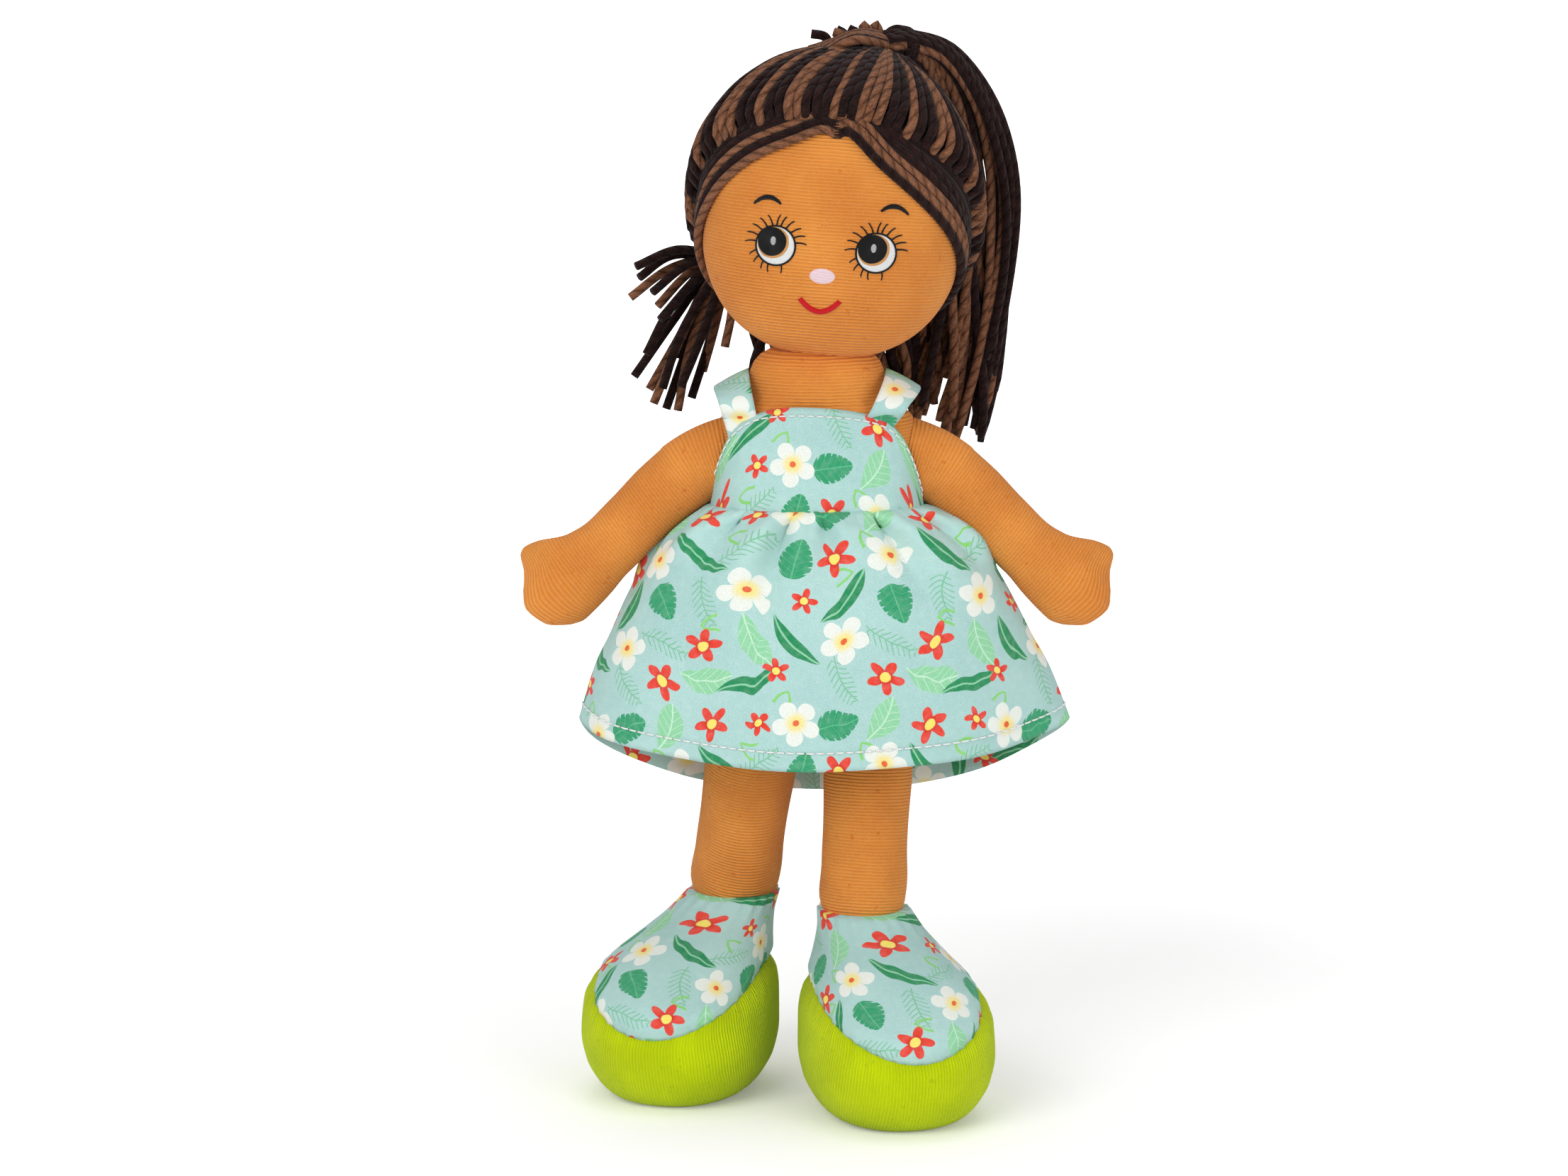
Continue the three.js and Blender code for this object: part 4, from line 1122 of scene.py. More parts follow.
@dataclass
class Arm:
    """A stuffed arm that widens to a mitten hand with a slanted end and a dent beside the thumb."""

    finishes: Finishes
    side: Side
    shoulder: np.ndarray
    droop: float = 39.0
    length: float = 63 * MM
    root_radius: float = 11.8 * MM
    root_length: float = 16 * MM
    root_depth: float = 9.5 * MM
    hand_width: float = 14.3 * MM
    hand_depth: float = 8 * MM
    crease_place: float = -0.49
    crease_width: float = 0.3
    columns: int = 72

    def build(self) -> None:
        """Makes the arm, as ellipses along it whose sizes follow a table of shares."""
        sign = self.side.value
        word = self.side.word
        angle = ring_angles(self.columns)
        hand_end = 1 - 0.1 * (1 - np.linspace(0, 1, 14)[1:]) ** 1.6
        share = np.concatenate([np.linspace(0, 0.9, 44)[1:], hand_end])
        root = np.linspace(-1, 0, 12)
        root_width = self.root_radius * (1.0 + 0.1 * root**2)
        root_depth = self.root_depth * (1.0 + 0.04 * root**2)
        width = np.concatenate([root_width, self.hand_width * eased(ARM_SHARES, share, 1)])
        depth = np.concatenate([root_depth, self.hand_depth * eased(ARM_SHARES, share, 2)])
        run = np.concatenate([root * self.root_length, share * self.length])
        shift = np.concatenate([0 * root, -sign * self.hand_width * eased(ARM_SHARES, share, 3)])

        # The hand's end slants, with a dent beside the thumb.
        x = shift[:, None] + width[:, None] * np.cos(angle)
        y = depth[:, None] * np.sin(angle)
        hand = np.clip((run / self.length - 0.74) / 0.26, 0, 1)[:, None]
        hand = hand * hand * (3 - 2 * hand)
        across = -sign * x / self.hand_width
        z = -np.maximum(run, 0)[:, None] - hand * eased(HAND_END, across.clip(-1.06, 1.15), 1) * MM
        crease = 1 - 0.16 * hand * bell(across - self.crease_place, self.crease_width)
        local = np.stack([x, y * crease, z], axis=2)
        points = turned(local, about_y(-sign * math.radians(90 - self.droop)), self.shoulder)

        # The root's rings bend step by step from the arm's slope to the flatter one inside the torso.
        place = self.shoulder.copy()
        step = self.root_length / (len(root) - 1)
        for i in reversed(range(len(root))):
            fall = math.radians(self.droop) * (1 + 0.75 * root[i])
            if i < len(root) - 1:
                place = place - step * np.array([sign * math.cos(fall), 0, -math.sin(fall)])
            ring = np.stack([x[i], y[i], 0 * angle], axis=1)
            points[i] = turned(ring, about_y(-sign * (math.pi / 2 - fall)), place)
        piece = skin(f"{word}_arm_knit", points, ring_uv(points, run))
        give(piece, self.finishes.skin, "skin_knit", None, f"{word}_arm_cover", f"{word}_arm_stuffing")
        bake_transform(piece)


# Torso, neck and clothes

# The torso's half width and half depth by its height, all as shares.
TORSO_SHARES = (
    (0.0, 0.72, 0.70), (0.02, 0.79, 0.78), (0.06, 0.88, 0.87), (0.2, 0.98, 0.98), (0.45, 1.0, 1.0),
    (0.7, 1.0, 0.97), (0.86, 0.99, 0.89), (0.95, 0.955, 0.82), (1.0, 0.83, 0.77),
)


@dataclass
class Torso:
    """The stuffed torso with the neck stump on it, in one knit skin."""

    finishes: Finishes
    axis_y: float
    bottom: float = 148 * MM
    height: float = 80 * MM
    half_width: float = 32.5 * MM
    half_depth: float = 20 * MM
    power: float = 2.4
    neck_half_width: float = 21 * MM
    neck_half_depth: float = 15 * MM
    neck_height: float = 5 * MM
    shoulder_out: float = 42.7 * MM
    shoulder_height: float = 205 * MM
    arm_clearance: float = 13.4 * MM
    columns: int = 120

    @property
    def top(self) -> float:
        """The height of the neck seam."""
        return self.bottom + self.height

    def around(self, angle: np.ndarray, height: np.ndarray, stand_off: np.ndarray | float) -> np.ndarray:
        """Points round the torso. Each level is a superellipse.

        Args:
            angle: The angles about the torso's axis.
            height: The heights.
            stand_off: How far the points stand off the torso.

        Returns:
            The points, in the model's frame.
        """
        share = (height - self.bottom) / self.height
        width = self.half_width * eased(TORSO_SHARES, share, 1) + stand_off
        depth = self.half_depth * eased(TORSO_SHARES, share, 2) + stand_off
        reach = superellipse(angle, self.power)
        x, y = width * reach * np.cos(angle), depth * reach * np.sin(angle)
        return np.stack(np.broadcast_arrays(x, y + self.axis_y, height), axis=-1)

    def clear_of_arms(self, points: np.ndarray, radius: float) -> np.ndarray:
        """Presses a surface in where the arms' rounded ends lie against it, to a ball's surface.

        Args:
            points: The surface.
            radius: The ball's radius.

        Returns:
            The pressed surface.
        """
        x, y, z = points[..., 0], points[..., 1] - self.axis_y, points[..., 2] - self.shoulder_height
        room = radius**2 - y**2 - z**2
        limit = np.where(room > 0, self.shoulder_out - np.sqrt(np.maximum(room, 0)), np.inf)
        pressed = points.copy()
        pressed[..., 0] = np.sign(x) * np.minimum(np.abs(x), limit)
        return pressed

    def build(self) -> None:
        """Makes the skin, from the seat over the shoulders and up the neck to its rounded top."""
        angle = ring_angles(self.columns)
        share = np.concatenate([[0, 0.004, 0.012, 0.03], np.linspace(0.06, 1, 44)])
        body = self.around(angle, (self.bottom + self.height * share)[:, None], 0.0)
        body = self.clear_of_arms(body, self.arm_clearance)
        rise = np.concatenate([np.linspace(0, self.neck_height, 5)[1:], np.full(7, self.neck_height)])
        close = np.concatenate([np.zeros(4), np.sin(np.linspace(0, 0.97, 8)[1:] * math.pi / 2)])
        full = (1 - close**3) ** (1 / 3)
        gather = 0.4 * MM * np.cos(26 * angle) * bell(rise[:, None] - 1.2 * MM, 1.4 * MM)
        flare = 8 * MM * np.exp(-rise / (2.6 * MM))
        width = (self.neck_half_width * full + flare)[:, None] + gather
        depth = (self.neck_half_depth * full)[:, None] + gather
        z = (self.top + rise + self.neck_half_depth * close)[:, None] + 0 * angle
        neck = np.stack([width * np.cos(angle), depth * np.sin(angle) + self.axis_y, z], axis=2)
        points = np.concatenate([body, neck])
        piece = skin("torso_knit", points, ring_uv(points, points[..., 2].mean(axis=1)))
        give(piece, self.finishes.skin, "skin_knit", None, "torso_cover", "torso_stuffing", "neck")
        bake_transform(piece)


@dataclass
class Dress:
    """The pinafore: a curved bodice, two straps, a gathered skirt and their topstitching."""

    finishes: Finishes
    torso: Torso
    gap: float = 1.4 * MM
    wall: float = 0.8 * MM
    bodice_height: float = 34.5 * MM
    bodice_back: float = 28 * MM
    armhole_height: float = 6 * MM
    armhole_width_shares: Pair = (0.6, 0.42)
    armhole_squareness: Pair = (3.1, 4.0)
    arm_clearance: float = 12.2 * MM
    waist_below_top: float = 33 * MM
    strap_width: float = 11 * MM
    strap_rise: float = 8 * MM
    strap_slope: float = 0.55
    strap_lean: float = -3.5 * MM
    strap_under: float = 2.5 * MM
    strap_foot_spacing: float = 38 * MM
    strap_top_spacing: float = 55 * MM
    skirt_half_width: float = 79.5 * MM
    skirt_half_depth: float = 40 * MM
    skirt_length: float = 79.5 * MM
    skirt_side_rise: float = 9.5 * MM
    skirt_power: float = 1.62
    skirt_back_drop: float = 23 * MM
    skirt_apex: float = 86 * MM
    hem_width: float = 6 * MM
    stitch: Pair = (2.3 * MM, 0.7 * MM)
    hem_stitch: Pair = (2.6 * MM, 0.6 * MM)
    fold_seed: int = 17
    columns: int = 288
    skirt_shares: Table = (
        (0.0, 0.0), (0.02, 0.06), (0.07, 0.19), (0.15, 0.35), (0.28, 0.48), (0.43, 0.61), (0.61, 0.745),
        (0.75, 0.86), (1.0, 1.0),
    )
    creases: Table = (
        (-32.6, -40.0, 0.24, 5.0, 2.2, 1), (-22.8, -29.0, 0.24, 5.0, 2.0, -1),
        (-8.9, -14.5, 0.52, 7.5, 2.1, -1), (2.3, 1.6, 0.3, 5.5, 1.9, 1),
        (17.8, 28.5, 0.42, 7.0, 2.3, 1), (31.0, 44.0, 0.3, 5.0, 2.1, 1),
    )

    @property
    def waist(self) -> float:
        """The height of the waist seam."""
        return self.torso.top - self.waist_below_top

    @property
    def outer(self) -> float:
        """How far the dress's outside stands off the skin."""
        return self.gap + self.wall

    def top_at(self, angle: np.ndarray) -> np.ndarray:
        """The bodice's top edge: high before and behind, low at the armholes.

        Args:
            angle: The angles round the bodice.

        Returns:
            The edge's height at each angle.
        """
        front = (1 - np.sin(angle)) / 2
        straight = self.bodice_back + (self.bodice_height - self.bodice_back) * front
        in_front = np.sin(angle) < 0
        width = np.where(in_front, *self.armhole_width_shares)
        squareness = np.where(in_front, *self.armhole_squareness)
        side = np.exp(-((np.abs(np.sin(angle)) / width) ** squareness))
        slope = 0.04 * np.cos(angle) * straight
        return self.waist + straight + (self.armhole_height - straight) * side - slope

    def bodice_surface(self, angle: np.ndarray, height: np.ndarray, stand_off: float) -> np.ndarray:
        """Points of the bodice, pressed in at the armholes."""
        return self.torso.clear_of_arms(self.torso.around(angle, height, stand_off), self.arm_clearance)

    def build_bodice(self) -> None:
        """Makes the bodice as one folded band, and the topstitching along its upper edge."""
        angle = ring_angles(self.columns)
        share = np.linspace(0, 1, 22)[:, None]
        height = self.waist + (self.top_at(angle) - self.waist) * share
        wrinkle = 0.25 * MM * np.cos(30 * angle) * bell(share, 0.12)
        at_edge = 0.4 * MM * np.clip((share - 0.93) / 0.07, 0, 1) ** 2
        at_waist = 0.5 * MM * np.clip(1 - share / 0.06, 0, 1)
        points = self.bodice_surface(angle, height, self.outer + wrinkle - (at_edge + at_waist))
        piece = skin("bodice_cloth", points, own_uv(points[::-1])[::-1], ends=False)
        thicken(piece, self.wall)
        give(piece, self.finishes.print, "printed_cotton", "torso", "dress_bodice")

        height = np.maximum(self.top_at(angle) - 2.6 * MM, self.waist + 1.5 * MM)
        path = self.bodice_surface(angle, height, self.outer + 0.25 * MM)
        out = path - np.array([0, self.torso.axis_y, 0])
        out = unit(out * np.array([1, 2, 0]))
        routes, up = stitch_routes(looped(path), looped(out), *self.stitch)
        piece = strands("bodice_topstitch", routes, up, 0.26 * MM, 6)
        give(piece, self.finishes.sewing_thread, "white_thread", "torso")

    @property
    def strap_across(self) -> np.ndarray:
        """Places across a strap, from one edge to the other."""
        return np.linspace(-1, 1, 9) * self.strap_width / 2

    def strap_points(self, side: Side) -> tuple[np.ndarray, np.ndarray]:
        """Lays out a strap that lies on the bodice before and behind and stands over the shoulder.

        Args:
            side: The strap's side.

        Returns:
            Its points, shaped (steps, places across, 3), and a point inside its arch.
        """
        base = self.waist + self.bodice_back - self.strap_width / 2
        rise = self.torso.top + self.strap_rise - base
        route = ((-1.0, 0.0), (-1.0, 0.2), (-1.0, 0.35), (-0.97, 0.5), (-0.78, 0.8), (-0.42, 0.96),
                 (0.0, 1.0), (0.42, 0.96), (0.78, 0.8), (0.97, 0.5), (1.0, 0.35), (1.0, 0.2), (1.0, 0.0))
        line = smooth_route(np.array([(0.0, y, z) for y, z in route]), 60)
        height = base + rise * line[:, 2]
        risen = line[:, 2].clip(0, 1)
        spacing = self.strap_foot_spacing + (self.strap_top_spacing - self.strap_foot_spacing) * risen
        centre = spacing / 2
        across = self.strap_across
        lean = side.value * self.strap_lean * (1 - risen)
        x = (centre + lean)[:, None] + across
        share = (height - self.torso.bottom) / self.torso.height
        width = self.torso.half_width * eased(TORSO_SHARES, share, 1) + self.outer + 0.6 * MM
        depth = self.torso.half_depth * eased(TORSO_SHARES, share, 2) + self.outer + 0.6 * MM
        full = np.clip(1 - np.abs(x / width[:, None]) ** self.torso.power, 0, 1) ** (1 / self.torso.power)
        foot_depth = float(depth[0] * full[0].mean())
        on_bodice = np.clip((0.6 - line[:, 2]) / 0.15, 0, 1)[:, None]
        lying = np.maximum(depth[:, None] * full, foot_depth * 0.84)
        reach = on_bodice * lying + (1 - on_bodice) * foot_depth
        crown = 0.5 * MM * (1 - (across / (self.strap_width / 2)) ** 2)
        under = np.clip((0.72 - line[:, 2]) / 0.35, 0, 1) * (line[:, 1] < 0) * self.strap_under
        y = self.torso.axis_y + line[:, 1][:, None] * (reach + crown - under[:, None])
        over = np.clip((line[:, 2] - 0.5) / 0.5, 0, 1) ** 2
        slope = self.strap_slope * over[:, None] * across
        z = height[:, None] + crown * (1 - np.abs(line[:, 1]))[:, None] - slope
        inside = np.array([side.value * centre.mean(), self.torso.axis_y, base + rise * 0.3])
        return np.stack([side.value * x, y, np.broadcast_to(z, y.shape)], axis=2), inside

    def build_strap(self, side: Side) -> None:
        """Makes a strap and the topstitching along its two edges.

        Args:
            side: The strap's side.
        """
        points, inside = self.strap_points(side)
        run = run_along(points[:, 4])
        shifted = (self.strap_across + side.value * 0.021, run[:, None] + 0.013)
        uv = np.stack(np.broadcast_arrays(*shifted), axis=2)
        piece = skin(f"{side.word}_strap_cloth", points, uv, ends=False, wrap=False)

        # The faces on top of the shoulder have to point up.
        facing = np.cross(points[31, 4] - points[30, 4], points[30, 5] - points[30, 4])[2]
        if facing < 0:
            piece.data.flip_normals()
        thicken(piece, self.wall)
        give(piece, self.finishes.print, "printed_cotton", "torso", f"{side.word}_strap")

        edges = []
        for column in (1, 7):
            path = points[:, column]
            out = unit(path - inside)
            edges.append(stitch_routes(path + out * 0.2 * MM, out, *self.stitch))
        routes, up = (np.concatenate(both) for both in zip(*edges))
        piece = strands(f"{side.word}_strap_topstitch", routes, up, 0.24 * MM, 6)
        give(piece, self.finishes.sewing_thread, "white_thread", "torso")

    def skirt_angle(self, place: float) -> float:
        """The angle in front at which the waist seam has a place across, given in millimetres."""
        angle = np.linspace(-math.pi, 0, 721)
        across = (self.torso.half_width + self.outer) * superellipse(angle, self.torso.power) * np.cos(angle)
        return float(np.interp(place * MM, across, angle))

    def folds(self, angle: np.ndarray, share: np.ndarray, radius: np.ndarray) -> np.ndarray:
        """Works out how far the gathered cloth stands out or in.

        Every fold is a groove in the shape of a bell, with a fuller swell at one side of it, and fades down
        its own length. The front's are placed one by one, and the others come evenly with small differences.

        Args:
            angle: The angles round the skirt.
            share: The shares of its length.
            radius: Its mean radius there.

        Returns:
            The distance outwards at each place.
        """
        rng = seeded(self.fold_seed)
        placed = []
        for top, low, length, depth, spread, side in self.creases:
            start = self.skirt_angle(top)
            lean = (low - top) * MM / (60 * MM)
            placed.append((start, lean, length, depth, spread, side))
        for place in np.radians(np.arange(-4, 188, 13.5)):
            lean = rng.uniform(-0.05, 0.05)
            length, depth, spread = rng.uniform(0.22, 0.5), rng.uniform(4.0, 6.5), rng.uniform(1.8, 2.4)
            placed.append((place, lean, length, depth, spread, rng.choice([-1, 1])))
        stand = np.zeros(np.broadcast(angle, share).shape)
        for start, lean, length, depth, spread, side in placed:
            run = share / length
            away = angle - start - lean * run
            away = (away + math.pi) % (2 * math.pi) - math.pi
            across = away * radius / (spread * MM * (0.7 + 2.2 * run))
            fade = np.clip(1 - run, 0, 1) ** 0.9 * np.clip(share / 0.055, 0, 1)
            swell = 0.62 * np.exp(-((across - 2.1 * side) ** 2) / 3)
            stand = stand + depth * MM * fade * (swell - bell(across, 1.0))
        return stand

    def skirt_surface(self, angle: np.ndarray, share: np.ndarray) -> np.ndarray:
        """Points of the skirt by angle and share of its length.

        Each level is a superellipse that grows from the waist to the hem, and the folds stand out from it.

        Args:
            angle: The angles round the skirt.
            share: The shares of its length, from 0 at the waist to 1 at the hem.

        Returns:
            The points, in the model's frame.
        """
        grow = eased(self.skirt_shares, share, 1)
        waist_width, waist_depth = self.torso.half_width + self.outer, self.torso.half_depth + self.outer
        width = waist_width + (self.skirt_half_width - waist_width) * grow
        depth = waist_depth + (self.skirt_half_depth - waist_depth) * grow
        power = self.torso.power + (self.skirt_power - self.torso.power) * grow
        reach = superellipse(angle, power)
        c, s = np.cos(angle), np.sin(angle)
        lower_behind = np.maximum(0, s) * self.skirt_back_drop
        fall = self.skirt_length + lower_behind - (1 - np.abs(s)) * self.skirt_side_rise
        gather = 0.35 * MM * np.cos(58 * angle + 2 * np.sin(5 * angle)) * bell(share, 0.08)
        wave = 1.2 * MM * np.sin(7 * angle + 1.3) * share**2
        tuck = -1.3 * MM * np.clip(1 - share / 0.012, 0, 1)
        stand = self.folds(angle, share, np.sqrt(width * depth)) + gather + wave + tuck
        x = (width + stand) * reach * c + 1.4 * MM * share
        y = (depth + stand) * reach * s + self.torso.axis_y
        z = self.waist + 0.8 * MM - share * (fall + 1.1 * MM) + 0 * angle
        return np.stack([x, y, z], axis=-1)

    def build_skirt(self) -> None:
        """Makes the skirt and the stitching of its hem."""
        angle = ring_angles(self.columns)
        spans = (np.linspace(0, 0.03, 7), np.linspace(0.03, 0.3, 26)[1:], np.linspace(0.3, 1, 34)[1:])
        points = self.skirt_surface(angle, np.concatenate(spans)[:, None])
        grid = looped(points, 1)
        arc = run_along(grid[-1])
        uv = cone_uv(run_along(grid), self.skirt_apex, arc - arc[-1] / 2)
        piece = skin("skirt_cloth", points, uv, ends=False)
        thicken(piece, self.wall, outwards=True)
        give(piece, self.finishes.print, "printed_cotton", "torso", "dress_skirt")
        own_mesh(piece)

        hem_share = 1 - self.hem_width / self.skirt_length
        path = self.skirt_surface(angle, np.full_like(angle, hem_share))
        out = unit((path - np.array([0, self.torso.axis_y, 0])) * np.array([1, 3, 0]))
        path = path + out * (self.wall + 0.3 * MM)
        routes, up = stitch_routes(looped(path), looped(out), *self.hem_stitch)
        piece = strands("hem_stitching", routes, up, 0.3 * MM, 6)
        give(piece, self.finishes.sewing_thread, "white_thread", "torso")
        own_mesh(piece)

    def build(self) -> None:
        """Makes the whole dress, and dresses the closure at its back."""
        self.build_bodice()
        for side in Side:
            self.build_strap(side)
        self.build_skirt()
        dress_node("closure_loop_strip", self.finishes.tape)
        dress_node("closure_hook_strip", self.finishes.tape)
        dress_node("back_placket", self.finishes.print)


def dress_node(node: str, material: bpy.types.Material) -> None:
    """Gives a CAD node that stays its material, and its X and Z as cloth coordinates.

    Args:
        node: The node's name.
        material: Its material.
    """
    mesh = bpy.data.objects[node].data
    mesh.materials.clear()
    mesh.materials.append(material)
    layer = mesh.uv_layers.get(CLOTH_MAP) or mesh.uv_layers.new(name=CLOTH_MAP)
    place = np.empty(3 * len(mesh.vertices))
    mesh.vertices.foreach_get("co", place)
    corner = np.empty(len(mesh.loops), np.int32)
    mesh.loops.foreach_get("vertex_index", corner)
    layer.data.foreach_set("uv", place.reshape(-1, 3)[corner][:, [0, 2]].ravel())


# Head and face


@dataclass
class Head:
    """The round stuffed head and the frame that all its pieces are placed in.

    Its form is a superellipsoid, a little fuller below. Places on it are given in its own frame, from the
    centre that the head nods about, and then leaned and turned.
    """

    finishes: Finishes
    axis_y: float
    nod_height: float = 233 * MM
    side_shift: float = 1.4 * MM
    half_width: float = 42 * MM
    half_depth: float = 33 * MM
    half_height: float = 47 * MM
    rise: float = 58 * MM
    tilt: float = 4.0
    yaw: float = -3.0
    power: float = 2.3
    fuller: float = 0.04

    def placed(self, local: np.ndarray) -> np.ndarray:
        """Points or routes of the head's own frame, in the model's frame."""
        return turned(local, self.turn, np.array([self.side_shift, self.axis_y, self.nod_height]))

    @property
    def turn(self) -> np.ndarray:
        """The head's lean and turn as a matrix."""
        return about_y(math.radians(self.tilt)) @ about_z(math.radians(self.yaw))

    def on_surface(self, direction: np.ndarray, grow: np.ndarray | float) -> np.ndarray:
        """The point above the head's surface in each direction from its middle, in its own frame.

        Args:
            direction: The directions.
            grow: How far above the surface.

        Returns:
            The points, in the head's own frame.
        """
        d = unit(direction)
        grow = np.asarray(grow, float)[..., None]
        size = np.array([self.half_width, self.half_depth, self.half_height]) + grow
        wide = 1 - self.fuller * d[..., 2:]
        spread = np.concatenate([wide, wide, np.ones_like(wide)], axis=-1)
        reach = np.sum(np.abs(d / (size * spread)) ** self.power, axis=-1, keepdims=True) ** (-1 / self.power)
        return d * reach + np.array([0, 0, self.rise])

    def on_face(self, x: np.ndarray, z: np.ndarray, lift: np.ndarray | float) -> np.ndarray:
        """The point of the face at a place seen from the front, standing off by a distance.

        Args:
            x: The places across.
            z: The heights.
            lift: How far the points stand off.

        Returns:
            The points, in the head's own frame.
        """
        down = (z - self.rise) / self.half_height
        u = np.abs(x) / (self.half_width * (1 - self.fuller * down))
        room = np.clip(1 - u**self.power - np.abs(down) ** self.power, 0.001, 1)
        y = -self.half_depth * (1 - self.fuller * down) * room ** (1 / self.power) - lift
        return np.stack(np.broadcast_arrays(x, y, z), axis=-1)

    def build(self) -> None:
        """Makes the head's skin, as levels from the crown to the chin."""
        angle = ring_angles(128)
        level = np.linspace(0.02, math.pi - 0.02, 84)
        ring = np.sin(level)[:, None]
        polar = [ring * np.cos(angle), ring * np.sin(angle) * 0.8, np.cos(level)[:, None] + 0 * angle]
        polar = np.stack(polar, axis=2)
        points = self.on_surface(polar * np.array([self.half_width, self.half_width, self.half_height]), 0.0)
        under = np.clip((0.019 - points[..., 2]) / 0.008, 0, 1) * MM
        points[..., 2] += 0.3 * under * np.cos(24 * angle)
        placed = self.placed(points)
        along = -points[..., 2].mean(axis=1)
        uv = ring_uv(points, along)
        uv = np.stack([uv[..., 0], looped(points[..., 2], 1)], axis=2)
        piece = skin("head_knit", placed, uv)
        give(piece, self.finishes.skin, "skin_knit", "head", "head_cover", "head_stuffing")


@dataclass
class Face:
    """The embroidered face: stitched ovals and corded lines that lie on the head's front."""

    finishes: Finishes
    head: Head
    eye_spacing: float = 31.8 * MM
    eye_height: float = 48.6 * MM
    eye_shift: float = -0.7 * MM
    nose_shift: float = -1.2 * MM
    mouth_shift: float = -1.5 * MM
    eye_radius: float = 6.2 * MM
    pupil_radius: float = 4.65 * MM
    pupil_shift: Pair = (-1.1 * MM, 1.15 * MM)
    ring_radius: float = 5.2 * MM
    nose_height: float = 40.1 * MM
    mouth_height: float = 32.4 * MM
    brow_spacing: float = 40.2 * MM
    brow_height: float = 61.5 * MM
    brow_size: Pair = (4.3 * MM, 2.1 * MM)
    brow_lean: float = 0.35 * MM
    nose_size: Pair = (4.1 * MM, 2.5 * MM)
    mouth_size: Pair = (6.3 * MM, 3.9 * MM)
    glint_size: Pair = (0.95 * MM, 1.5 * MM)
    outline_share: float = 1.015
    lash_lengths: Pair = (3.7 * MM, 2.7 * MM)
    upper_lash_angles: Sequence[float] = (12, 28, 44, 62, 78, 90, 102, 118, 136, 154, 172)
    lower_lash_angles: Sequence[float] = (198, 216, 236, 252, 290)

    def oval(self, name: str, place: Pair, size: Pair, lift: Pair, material: bpy.types.Material,
             slot: str, *nodes: str) -> None:
        """Makes an oval of satin stitch, as rings on a low dome whose edge sinks into the cloth.

        Args:
            name: The piece's name.
            place: Its middle on the face.
            size: Its half width and half height.
            lift: How far its edge and its middle stand off the face.
            material: Its thread.
            slot: Not used; it is only passed on to give.
            nodes: The CAD nodes it stands for.
        """
        ring = np.linspace(1, 0.06, 14)[:, None]
        angle = ring_angles(56)
        x, z = size[0] * ring * np.cos(angle), size[1] * ring * np.sin(angle)
        height = lift[0] + (lift[1] - lift[0]) * (1 - ring**4)
        under = self.head.on_face(place[0] + x[:1], place[1] + z[:1], -0.5 * MM)
        points = np.concatenate([under, self.head.on_face(place[0] + x, place[1] + z, height)])
        uv = np.stack([np.vstack([x[:1], x]), np.vstack([z[:1], z])], axis=2)
        piece = skin(name, self.head.placed(points), looped(uv, 1))
        give(piece, material, slot, "head", *nodes)

    def lines(self, name: str, routes: np.ndarray, radius: np.ndarray | float, lift: float,
              material: bpy.types.Material, slot: str, *nodes: str) -> None:
        """Makes corded lines along routes on the face, shaped (lines, steps, 2).

        Args:
            name: The piece's name.
            routes: The lines' routes.
            radius: The cord's radius at each point.
            lift: How far the cord's middle stands off the face.
            material: Its thread.
            slot: Not used; it is only passed on to give.
            nodes: The CAD nodes it stands for.
        """
        points = self.head.on_face(routes[..., 0], routes[..., 1], lift)
        up = np.zeros_like(points) + np.array([0.0, -1.0, 0.0])
        piece = strands(name, self.head.placed(points), up @ self.head.turn.T, radius, 8)
        give(piece, material, slot, "head", *nodes)

    def build_eye(self, side: Side) -> None:
        """Makes an eye: the white, its ring, the pupil and its glint, the outline and the lashes.

        Args:
            side: The eye's side.
        """
        f, word = self.finishes, side.word
        x = side.value * self.eye_spacing / 2 + self.eye_shift
        z = self.eye_height
        pupil = (x + self.pupil_shift[0], z + self.pupil_shift[1])
        self.oval(f"{word}_eye_patch", (x, z), (self.eye_radius,) * 2, (0.1 * MM, 0.45 * MM),
                  f.white_thread, "white_thread", f"{word}_eye_white")
        ring = (pupil[0] + 0.45 * MM, pupil[1] - 0.4 * MM)
        size = (self.ring_radius * 0.99, self.ring_radius)
        self.oval(f"{word}_eye_ring", ring, size, (0.3 * MM, 0.62 * MM), f.ring_thread, "brown_yarn")
        self.oval(f"{word}_eye_pupil", pupil, (self.pupil_radius,) * 2, (0.45 * MM, 0.85 * MM),
                  f.black_thread, "black_thread", f"{word}_pupil")
        self.oval(f"{word}_eye_light", (pupil[0] + 0.3 * MM, pupil[1] + 0.4 * MM), self.glint_size,
                  (0.7 * MM, 1.15 * MM), f.white_thread, "white_thread", f"{word}_eye_glint")
        turn = np.linspace(0, 2 * math.pi, 49)
        reach = self.outline_share * self.eye_radius
        outline = np.stack([x + reach * np.cos(turn), z + reach * np.sin(turn)], axis=1)
        self.lines(f"{word}_eye_outline", outline[None], 0.3 * MM, 0.22 * MM, f.line_thread, "black_thread")

        # The lashes start at the eye's edge and bend down towards their tips.
        angle = np.radians([*self.upper_lash_angles, *self.lower_lash_angles])
        length = np.where(np.sin(angle) > 0, *self.lash_lengths)
        share = np.linspace(0, 1, 6)
        away = self.eye_radius + share * length[:, None]
        bend = angle[:, None] - 0.1 * share**2 * np.sign(np.cos(angle))[:, None]
        routes = np.stack([x + away * np.cos(bend), z + away * np.sin(bend)], axis=2)
        taper = np.broadcast_to((0.28 - 0.08 * share) * MM, away.shape)
        self.lines(f"{word}_lashes", routes, taper, 0.12 * MM, f.line_thread, "black_thread")

